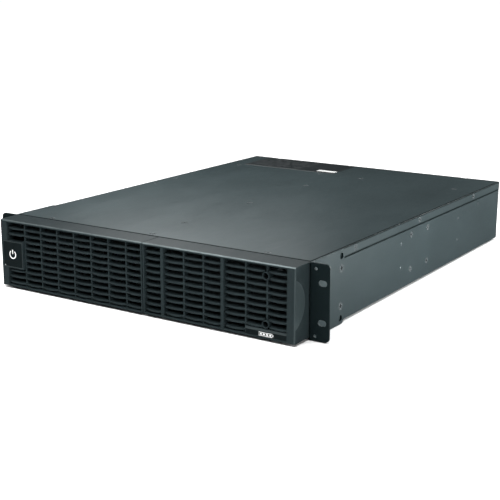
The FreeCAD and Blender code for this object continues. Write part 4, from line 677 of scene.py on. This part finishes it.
def bezel_section(name, side):
    """One bezel section, rebuilt with rounded edges, round-nosed slats and bosses."""
    low, high = millimetres(name)
    left, right = low[0], high[0]
    bottom, top = round(low[2], 2), round(high[2], 2)
    front = low[1]
    rear = millimetres("top_cover")[0][1] - 0.4
    grille_low, grille_high = bottom + RAIL_LOW, top - RAIL_HIGH
    is_left = side == "left"
    if is_left:
        right -= SEAM_EASE
        bars = [(x, BAR) for x in LEFT_BARS]
        inner_left, inner_right = left + STRIP, right - BAR
        hollow = (left + WALL, right - BAR)
    else:
        left += SEAM_EASE
        bars = [(x, BAR) for x in RIGHT_THIN] + [(x, THICK_BAR) for x in RIGHT_THICK]
        inner_left, inner_right = left + BAR, right - STRIP
        hollow = (left + BAR, right - WALL)
    columns = columns_between(inner_left, inner_right, bars)
    thick = [] if is_left else RIGHT_THICK
    back = front + GRILLE
    seat_back = front + RECESS + SLAT_DEEP
    boxes = []
    if is_left:
        badge_low, badge_high = millimetres("badge_plate")
        boxes.append((left + 2.2, badge_high[0] + 1, front, seat_back, badge_low[2] - 1, badge_high[2] + 1))
        holes = [(
            badge_low[0] - 0.1, badge_high[0] + 0.1, front, badge_high[1],
            badge_low[2] - 0.1, badge_high[2] + 0.1,
        )]
    else:
        plate_low, plate_high = millimetres("name_plate")
        boxes.append((
            plate_low[0] - 0.6, inner_right + 0.5, front + 1.2, front + 1.2 + SLAT_DEEP,
            bottom + 1, plate_high[2] + 0.5,
        ))
        holes = []
    xs = {left, right, hollow[0], hollow[1]}
    for start, end in columns:
        xs |= {start, end}
    ys = {front, front + RECESS, back, rear}
    zs = {bottom, bottom + FLOOR_THICK, grille_low, grille_high, top - WALL, top}
    for x0, x1, y0, y1, z0, z1 in boxes + holes:
        xs |= {x0, x1}
        ys |= {y0, y1}
        zs |= {z0, z1}
    if not is_left:
        for z in ACCESS_Z:
            zs |= {z - ACCESS_POCKET, z + ACCESS_POCKET}

    def within(box, x, y, z):
        return box[0] < x < box[1] and box[2] < y < box[3] and box[4] < z < box[5]

    def filled(x, y, z):
        if any(within(box, x, y, z) for box in holes):
            return False
        if any(within(box, x, y, z) for box in boxes):
            return True
        if y > back:
            return not (hollow[0] < x < hollow[1] and bottom + FLOOR_THICK < z < top - WALL)
        in_grille = inner_left < x < inner_right and grille_low < z < grille_high
        if not in_grille:
            return True
        if any(start < x < end for start, end in columns):
            return False
        if any(abs(x - centre) < THICK_BAR / 2 for centre in thick):
            return True
        if not is_left and abs(x - ACCESS_X) < BAR and any(abs(z - c) < ACCESS_POCKET for c in ACCESS_Z):
            return False
        return y > front + RECESS

    def tidy(values):
        kept = []
        for v in sorted(values):
            if not kept or v - kept[-1] > 0.02:
                kept.append(v)
        return kept

    bm = bmesh.new()
    block_solid(bm, tidy(xs), tidy(ys), tidy(zs), filled)
    bmesh.ops.dissolve_limit(bm, angle_limit=0.001, verts=bm.verts, edges=bm.edges)
    round_front(bm, tidy(ys)[0], tidy(zs)[-1], left if is_left else right)
    item = finish_mesh(f"{name}_frame", bm, f"bezel_{side}_section", bezel_coat)
    bevel(item, 0.35, 2, 50.0)
    apply_modifiers(item)
    if not is_left:
        cutter = scoop_cutter(right, front, SCOOP_Z, SCOOP_RADIUS, SCOOP_BACK, SCOOP_DEPTH, front + SCOOP_LIP)
        subtract(item, cutter)
        # the scoop's faces get the lighter copy, which paints in the light the scoop catches
        item.data.materials.append(scoop_lit_coat.material)
        for polygon in item.data.polygons:
            x = polygon.center.x / MM
            polygon.material_index = int(right - 2.8 < x < right - 0.01 and 0.9 < polygon.normal.x < 0.9995)
    smooth_by_angle(item, 32.0)
    flat_faces = item.modifiers.new("flat_faces", "WEIGHTED_NORMAL")
    flat_faces.keep_sharp = True
    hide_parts(name)

    def around_boxes(start, end, z):
        for x0, x1, _, _, z0, z1 in boxes:
            if z0 - 0.9 < z < z1 + 0.9 and start < x1 and end > x0:
                if start < x0 < end:
                    end = x0 + 0.4
                else:
                    start = x1 - 0.4
        return start, end

    def around_holes(start, end, z):
        if is_left:
            return start, end
        for centre in ACCESS_Z:
            gap = max(0.0, abs(z - centre) - SLAT_HIGH / 2)
            if gap < 4.0:
                reach = math.sqrt(16.0 - gap ** 2)
                if start < ACCESS_X < end:
                    end = ACCESS_X - reach
                elif start < ACCESS_X + reach and end > ACCESS_X + reach:
                    start = ACCESS_X + reach
        return start, end

    bm = bmesh.new()
    peg_x = (LEFT_BARS[1], LEFT_BARS[6]) if is_left else (right - STRIP / 2, RIGHT_THICK[0])
    peg_node = name if is_left else "bezel_right_pegs"
    peg_from, peg_to = back - 1.0, millimetres(peg_node)[1][1]
    for x in peg_x:
        for z in (SLAT_FIRST + SLAT_PITCH, SLAT_FIRST + SLAT_PITCH * 8):
            profile = [(peg_from, 3.0), (peg_to - 1.2, 3.0), (peg_to, 2.2)]
            turned(bm, profile, (x, 0, z), segments=24)
    pegs = finish_mesh(f"{name}_snap_pegs", bm, f"bezel_{side}_section", bezel_coat, 40.0)
    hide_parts(peg_node)

    bm = bmesh.new()
    slat_pieces(bm, columns, front, [around_boxes, around_holes])
    if not is_left:
        for z in ACCESS_Z:
            ring_solid(bm, (ACCESS_X, z), ACCESS_HOLE, ACCESS_RIM, front + 0.35, front + GRILLE)
    slats = finish_mesh(f"{name}_grille", bm, f"bezel_{side}_section", bezel_coat, 40.0)
    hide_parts(name)
    return item


bezel_section("bezel_left", "left")
bezel_section("bezel_right", "right")


# ---------------------------------------------------------------- badge, light and name plate


def ribbon(bm, path, width, front, back, closed=False):
    """A flat raised line of even width that follows points (x, z)."""
    count = len(path)
    sides = []
    for i, point in enumerate(path):
        before = path[i - 1] if i or closed else path[0]
        after = path[(i + 1) % count] if i < count - 1 or closed else path[-1]
        direction = (Vector(after) - Vector(before)).normalized()
        across = Vector((-direction.y, direction.x)) * width / 2
        sides.append((Vector(point) + across, Vector(point) - across))
    rings = []
    for a, b in sides:
        rings.append([bm.verts.new((q.x, y, q.y)) for q, y in ((a, front), (b, front), (b, back), (a, back))])
    pairs = list(zip(rings, rings[1:] + rings[:1])) if closed else list(zip(rings, rings[1:]))
    for first, second in pairs:
        for i in range(4):
            bm.faces.new((first[i], first[(i + 1) % 4], second[(i + 1) % 4], second[i]))
    if not closed:
        bm.faces.new(rings[0])
        bm.faces.new(rings[-1][::-1])


def badge():
    """A shallow framed plate with a plain power symbol, and the light beside it."""
    low, high = millimetres("badge_plate")
    light_low, light_high = millimetres("status_light")
    rim = 0.8
    face = low[1] + 0.45
    gap = 0.05
    xs = [low[0], light_low[0] - gap, light_high[0] + gap, high[0] - rim, high[0]]
    zs = [low[2], low[2] + rim, light_low[2] - gap, light_high[2] + gap, high[2] - rim, high[2]]

    def filled(x, y, z):
        if xs[1] < x < xs[2] and zs[2] < z < zs[3]:
            return False
        return y > face or x > xs[3] or z > zs[4] or z < zs[1]

    bm = bmesh.new()
    block_solid(bm, xs, [low[1], face, high[1]], zs, filled)
    plate = finish_mesh("badge_framed_plate", bm, "bezel_left_section", badge_coat)
    # the rim faces in front of the badge face take the lighter copy as painted highlight
    plate.data.materials.append(badge_lit_rim_coat.material)
    for polygon in plate.data.polygons:
        polygon.material_index = int(polygon.center.y / MM < face - 0.05)
    bevel(plate, 0.18, 2)
    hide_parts("badge_plate")

    middle = ((low[0] + high[0]) / 2 - 1.0, (low[2] + high[2]) / 2)
    radius = 5.0
    arc = [
        (middle[0] + radius * math.sin(a), middle[1] + radius * math.cos(a))
        for a in (math.radians(38 + 284 * i / 40) for i in range(41))
    ]
    bm = bmesh.new()
    ribbon(bm, arc, 1.3, face - 0.15, face + 0.05)
    stroke = [(middle[0], middle[1] + 0.6), (middle[0], middle[1] + radius + 1.2)]
    ribbon(bm, stroke, 1.3, face - 0.15, face + 0.05)
    symbol = finish_mesh("badge_power_symbol", bm, "bezel_left_section", white_print)
    bevel(symbol, 0.05, 1)

    x, z = (light_low[0] + light_high[0]) / 2, (light_low[2] + light_high[2]) / 2
    radius = (light_high[0] - light_low[0]) / 2
    front = light_low[1]
    turns = (0.15, 0.5, 0.9, 1.25, math.pi / 2)
    dome = [(front + radius * 0.45 * (1 - math.cos(a)), radius * math.sin(a)) for a in turns]
    bm = bmesh.new()
    turned(bm, dome + [(light_high[1], radius)], (x, 0, z), segments=20)
    lens = finish_mesh("status_light_lens", bm, "bezel_left_section", materials["light_lens"])
    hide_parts("status_light")


def name_plate():
    """A black plate with a sloping ledge along its top, and a plain battery pictogram on it."""
    low, high = millimetres("name_plate")
    ledge = 2.3
    rings = []
    sections = ((low[0], 0.75, 0.5), (low[0] + 0.9, 0.0, 0.0), (high[0] - 0.4, 0.0, 0.0), (high[0], 0.3, 0.2))
    for x, depth, inset in sections:
        y = low[1] + depth
        rings.append([
            (x, high[1], low[2]), (x, y + 0.15, low[2]), (x, y, low[2] + 0.25 + inset),
            (x, y, high[2] - ledge - inset), (x, high[1] - 0.1, high[2] - 0.2), (x, high[1], high[2]),
        ])
    bm = bmesh.new()
    loft(bm, rings)
    plate = finish_mesh("name_plate_ledge", bm, "bezel_right_section", badge_coat, 20.0)
    # the sloping ledge and the left end take the lighter copy as painted highlight
    plate.data.materials.append(badge_lit_rim_coat.material)
    for polygon in plate.data.polygons:
        sloped = polygon.center.z / MM > high[2] - ledge or polygon.center.x / MM < low[0] + 0.6
        polygon.material_index = int(sloped)
    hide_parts("name_plate")

    left, right = 170.5, 187.5
    bottom, top = low[2] + 1.0, low[2] + 4.6
    front, back = low[1] - 0.12, low[1] + 0.05
    bm = bmesh.new()
    ribbon(bm, [(left, bottom), (right, bottom), (right, top), (left, top)], 0.7, front, back, closed=True)
    ribbon(bm, [(right + 0.35, (bottom + top) / 2), (right + 1.5, (bottom + top) / 2)], 1.6, front, back)
    for i in range(4):
        x = left + 2.4 + 4.06 * i
        ribbon(bm, [(x, bottom + 0.9), (x, top - 0.9)], 2.5, front, back)
    mark = finish_mesh("name_plate_pictogram", bm, "bezel_right_section", white_print)
    bevel(mark, 0.04, 1)


badge()
name_plate()


# ---------------------------------------------------------------- fans


def fan_rotor(name, body):
    """A hub with a domed cap and seven swept, twisted blades."""
    low, high = millimetres(name)
    x, z = (low[0] + high[0]) / 2, (low[2] + high[2]) / 2
    tip = (high[0] - low[0]) / 2
    hub = 17.0
    rear, front = high[1], low[1]
    bm = bmesh.new()
    turned(bm, [
        (front + 1.0, 3.0), (front, 4.0), (front, hub - 2.0), (front + 0.3, hub - 1.0),
        (front + 0.6, hub - 0.4), (front + 1.4, hub), (rear - 2.2, hub), (rear - 0.8, hub - 0.7),
        (rear, hub - 2.4), (rear, 6.0), (rear - 0.5, 5.2), (rear - 0.5, 0.6),
    ], (x, 0, z), segments=48)
    count = 7
    steps = 8
    chord = 10
    for blade in range(count):
        start = 2 * math.pi * blade / count
        rings = []
        for i in range(steps + 1):
            along = i / steps
            radius = hub - 0.6 + (tip - 0.35 - hub + 0.6) * along
            sweep = 0.30 * along ** 1.4
            spread = 0.66 - 0.12 * along
            height = (rear - front) * (0.76 - 0.22 * along)
            outline = []
            for side in (1, -1):
                for j in range(chord + 1):
                    t = j / chord if side > 0 else 1 - j / chord
                    angle = start + sweep + spread * (t - 0.5)
                    camber = 1.3 * math.sin(math.pi * t)
                    thick = 0.85 * math.sin(math.pi * min(max(t, 0.04), 0.96)) ** 0.5
                    y = (front + rear) / 2 + height * (t - 0.5) + camber + side * thick / 2
                    outline.append((x + radius * math.cos(angle), y, z + radius * math.sin(angle)))
            rings.append(outline)
        loft(bm, rings)
    rotor = finish_mesh(f"{name}_swept", bm, body, materials["connector_plastic"], 38.0)
    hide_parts(name)


fan_rotor("fan_rotor_left", "left_fan_rotor")
fan_rotor("fan_rotor_right", "right_fan_rotor")


# ---------------------------------------------------------------- batteries


def rounded_block(bm, low, high, radius, segments=3):
    """A box with every edge rounded."""
    made = bmesh.ops.create_cube(bm, size=1.0)["verts"]
    for vertex in made:
        for i in range(3):
            vertex.co[i] = (low[i] + high[i]) / 2 + vertex.co[i] * (high[i] - low[i])
    edges = list({edge for vertex in made for edge in vertex.link_edges})
    bmesh.ops.bevel(
        bm, geom=edges, offset=radius, segments=segments, profile=0.5, affect="EDGES", clamp_overlap=True,
    )


def batteries():
    """Four sealed batteries lying on their sides, each with a lid, vent strip and two blade terminals."""
    low, high = millimetres("batteries")
    tab = 6.0
    count = 4
    tall = 94.0
    pitch = (high[1] - tab - low[1] - tall) / (count - 1)
    middle = (low[0] + high[0]) / 2
    cases, tabs = bmesh.new(), bmesh.new()
    for i in range(count):
        start = low[1] + pitch * i
        end = start + tall
        lid = end - 9.0
        rounded_block(cases, (low[0] + 0.5, start, low[2]), (high[0] - 0.5, lid - 0.5, high[2] - 0.4), 1.6)
        rounded_block(cases, (low[0], lid, low[2]), (high[0], end - 0.6, high[2]), 1.2)
        rounded_block(cases, (low[0] + 2, lid - 2, low[2] + 2), (high[0] - 2, lid + 2, high[2] - 2), 0.4)
        rounded_block(cases, (middle - 44, end - 2, low[2] + 12), (middle + 44, end, high[2] - 12), 0.5)
        for x in (middle - 58, middle + 58):
            rounded_block(cases, (x - 7, end - 2, low[2] + 41), (x + 7, end, low[2] + 52), 0.5)
            rounded_block(tabs, (x - 3.2, end - 2, low[2] + 46), (x + 3.2, end + tab, low[2] + 46.8), 0.2, 1)
    shells = finish_mesh("battery_cases", cases, "battery_drawer", materials["battery_case"])
    copper = materials["copper_strap"]
    blades = finish_mesh("battery_terminals", tabs, "battery_drawer", copper)
    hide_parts("batteries")
    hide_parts("batteries")


batteries()


# ---------------------------------------------------------------- edges of the CAD nodes

# width of the rounding in millimetres, and the nodes that get it
for width, names in (
    (0.35, ("rack_ear_left", "rack_ear_right", "rear_panel", "drawer_tray")),
    (0.2, ("ear_screws", "cover_top_screws", "case_side_screws", "fan_screws", "network_slot_cover",
           "retaining_screw_upper", "retaining_screw_lower", "input_breaker_button",
           "output_breaker_button")),
    (0.5, ("power_inlet", "outlets", "breaker_bodies", "switch_frame", "power_rocker", "stop_terminal",
           "battery_socket", "external_battery_connector", "fan_frames", "battery_plug", "slot_cover_screws",
           "rubber_feet")),
):
    for node in names:
        soften(node, width)


# ---------------------------------------------------------------- camera, light and floor

DOME_LOW = 0.015
DOME_HIGH = 0.12
FLOOR_POWER = 3.6
SENSOR_WIDTH = 36.0
FOCAL_LENGTH = 78.44256
FLOOR_REACH = 60.0
FLOOR_DROP = 0.0002


def aim(item, direction, roll=0.0):
    """Turns an object so that its -Z looks along a direction."""
    item.rotation_mode = "QUATERNION"
    turn = Matrix.Rotation(roll, 4, "Z").to_quaternion()
    item.rotation_quaternion = direction.to_track_quat("-Z", "Y") @ turn


def make_camera():
    """A camera in front of the right corner, a little above the unit."""
    azimuth, elevation, roll = math.radians(32.838), math.radians(14.066), math.radians(0.205)
    camera = bpy.data.cameras.new("camera")
    camera.sensor_width = SENSOR_WIDTH
    camera.lens = FOCAL_LENGTH
    camera.clip_end = 200
    item = bpy.data.objects.new("camera", camera)
    bpy.context.scene.collection.objects.link(item)
    item.location = (0.7745, -1.2582, 0.3843)
    level = math.cos(elevation)
    back = Vector((math.sin(azimuth) * level, -math.cos(azimuth) * level, math.sin(elevation)))
    aim(item, -back, roll)
    bpy.context.scene.camera = item


def softbox(name, place, target, width, height, power):
    """A rectangular light that shines from place towards target, and that the camera doesn't see."""
    light = bpy.data.lights.new(name, "AREA")
    light.shape = "RECTANGLE"
    light.size = width
    light.size_y = height
    light.energy = power
    item = bpy.data.objects.new(name, light)
    bpy.context.scene.collection.objects.link(item)
    item.location = place
    item.visible_camera = False
    aim(item, Vector(target) - Vector(place))


def make_floor():
    """A wide pale floor, with a sun of its own that lights nothing else."""
    bm = bmesh.new()
    bmesh.ops.create_grid(bm, x_segments=1, y_segments=1, size=FLOOR_REACH)
    mesh = bpy.data.meshes.new("floor")
    bm.to_mesh(mesh)
    bm.free()
    item = bpy.data.objects.new("floor", mesh)
    bpy.context.scene.collection.objects.link(item)
    item.location = (0, 0, -FLOOR_DROP)
    t = Tree("pale_floor")
    t.set(Base_Color=t.mix(t.noise(3.0), (0.86, 0.86, 0.86), (0.90, 0.90, 0.90)), Roughness=0.9)
    t.set(Specular_IOR_Level=0.2)
    item.data.materials.append(t.material)
    item.visible_glossy = False
    light = bpy.data.lights.new("floor_light", "SUN")
    light.energy = FLOOR_POWER
    light.angle = math.radians(60)
    lamp = bpy.data.objects.new("floor_light", light)
    bpy.context.scene.collection.objects.link(lamp)
    lit = bpy.data.collections.new("lit_by_floor_light")
    lit.objects.link(item)
    lamp.light_linking.receiver_collection = lit


def make_world():
    """A dome that is bright overhead and dim near the horizon, in front of a white backdrop."""
    world = bpy.data.worlds.new("studio")
    world.use_nodes = True
    tree = world.node_tree

    def add(kind):
        return tree.nodes.new(kind)

    def join(output, socket):
        tree.links.new(output, socket)

    split = add("ShaderNodeSeparateXYZ")
    ramp = add("ShaderNodeMapRange")
    rays = add("ShaderNodeLightPath")
    mixed = add("ShaderNodeMixShader")
    join(add("ShaderNodeTexCoord").outputs["Generated"], split.inputs[0])
    join(split.outputs["Z"], ramp.inputs["Value"])
    for key, value in (("From Min", 0.3), ("From Max", 0.75), ("To Min", DOME_LOW), ("To Max", DOME_HIGH)):
        ramp.inputs[key].default_value = value
    dome = tree.nodes["Background"]
    dome.inputs["Color"].default_value = (1, 1, 1, 1)
    join(ramp.outputs["Result"], dome.inputs["Strength"])
    backdrop = add("ShaderNodeBackground")
    backdrop.inputs["Color"].default_value = (1, 1, 1, 1)
    join(rays.outputs["Is Camera Ray"], mixed.inputs[0])
    join(dome.outputs[0], mixed.inputs[1])
    join(backdrop.outputs[0], mixed.inputs[2])
    join(mixed.outputs[0], tree.nodes["World Output"].inputs["Surface"])
    bpy.context.scene.world = world


make_camera()
make_floor()
make_world()
# name, place, target, width, height, power
for light in (
    ("top_front_box", (-0.30, -0.05, 0.45), (-0.1, -0.2, 0.0885), 0.4, 0.3, 1.3),
    ("top_rear_box", (-0.28, 0.20, 0.42), (-0.1, -0.2, 0.0885), 0.4, 0.25, 0.6),
    ("top_right_box", (0.05, 0.0, 0.50), (0.1, -0.2, 0.0885), 0.4, 0.3, 0.25),
    ("overhead_box", (0.0, -0.75, 1.5), (0, -0.3, 0), 1.2, 0.5, 16),
    ("front_high_box", (0.0, -1.15, 1.2), (0, -0.3, 0), 1.2, 0.5, 10),
    ("left_front_box", (-1.2, -1.5, 0.8), (0, -0.3, 0), 0.9, 0.7, 2),
    ("right_side_box", (1.7, -0.6, 0.35), (0.2, -0.1, 0.05), 0.8, 0.4, 14),
    ("right_rear_box", (1.3, 1.5, 0.55), (0.2, 0.1, 0.05), 0.6, 0.4, 7),
    ("side_glow_box", (0.40, 0.46, 0.22), (0.216, 0.27, 0.08), 0.12, 0.08, 1.0),
    ("rear_box", (1.1, 1.9, 0.9), (0.1, 0.2, 0.04), 0.9, 0.6, 10),
    ("side_low_box", (0.50, 0.04, 0.05), (0.216, -0.13, 0.03), 0.2, 0.05, 0.6),
    ("left_box", (-1.9, -0.3, 0.7), (-0.2, 0.0, 0.04), 0.9, 0.6, 8),
):
    softbox(*light)
bpy.context.scene.view_settings.view_transform = "Standard"
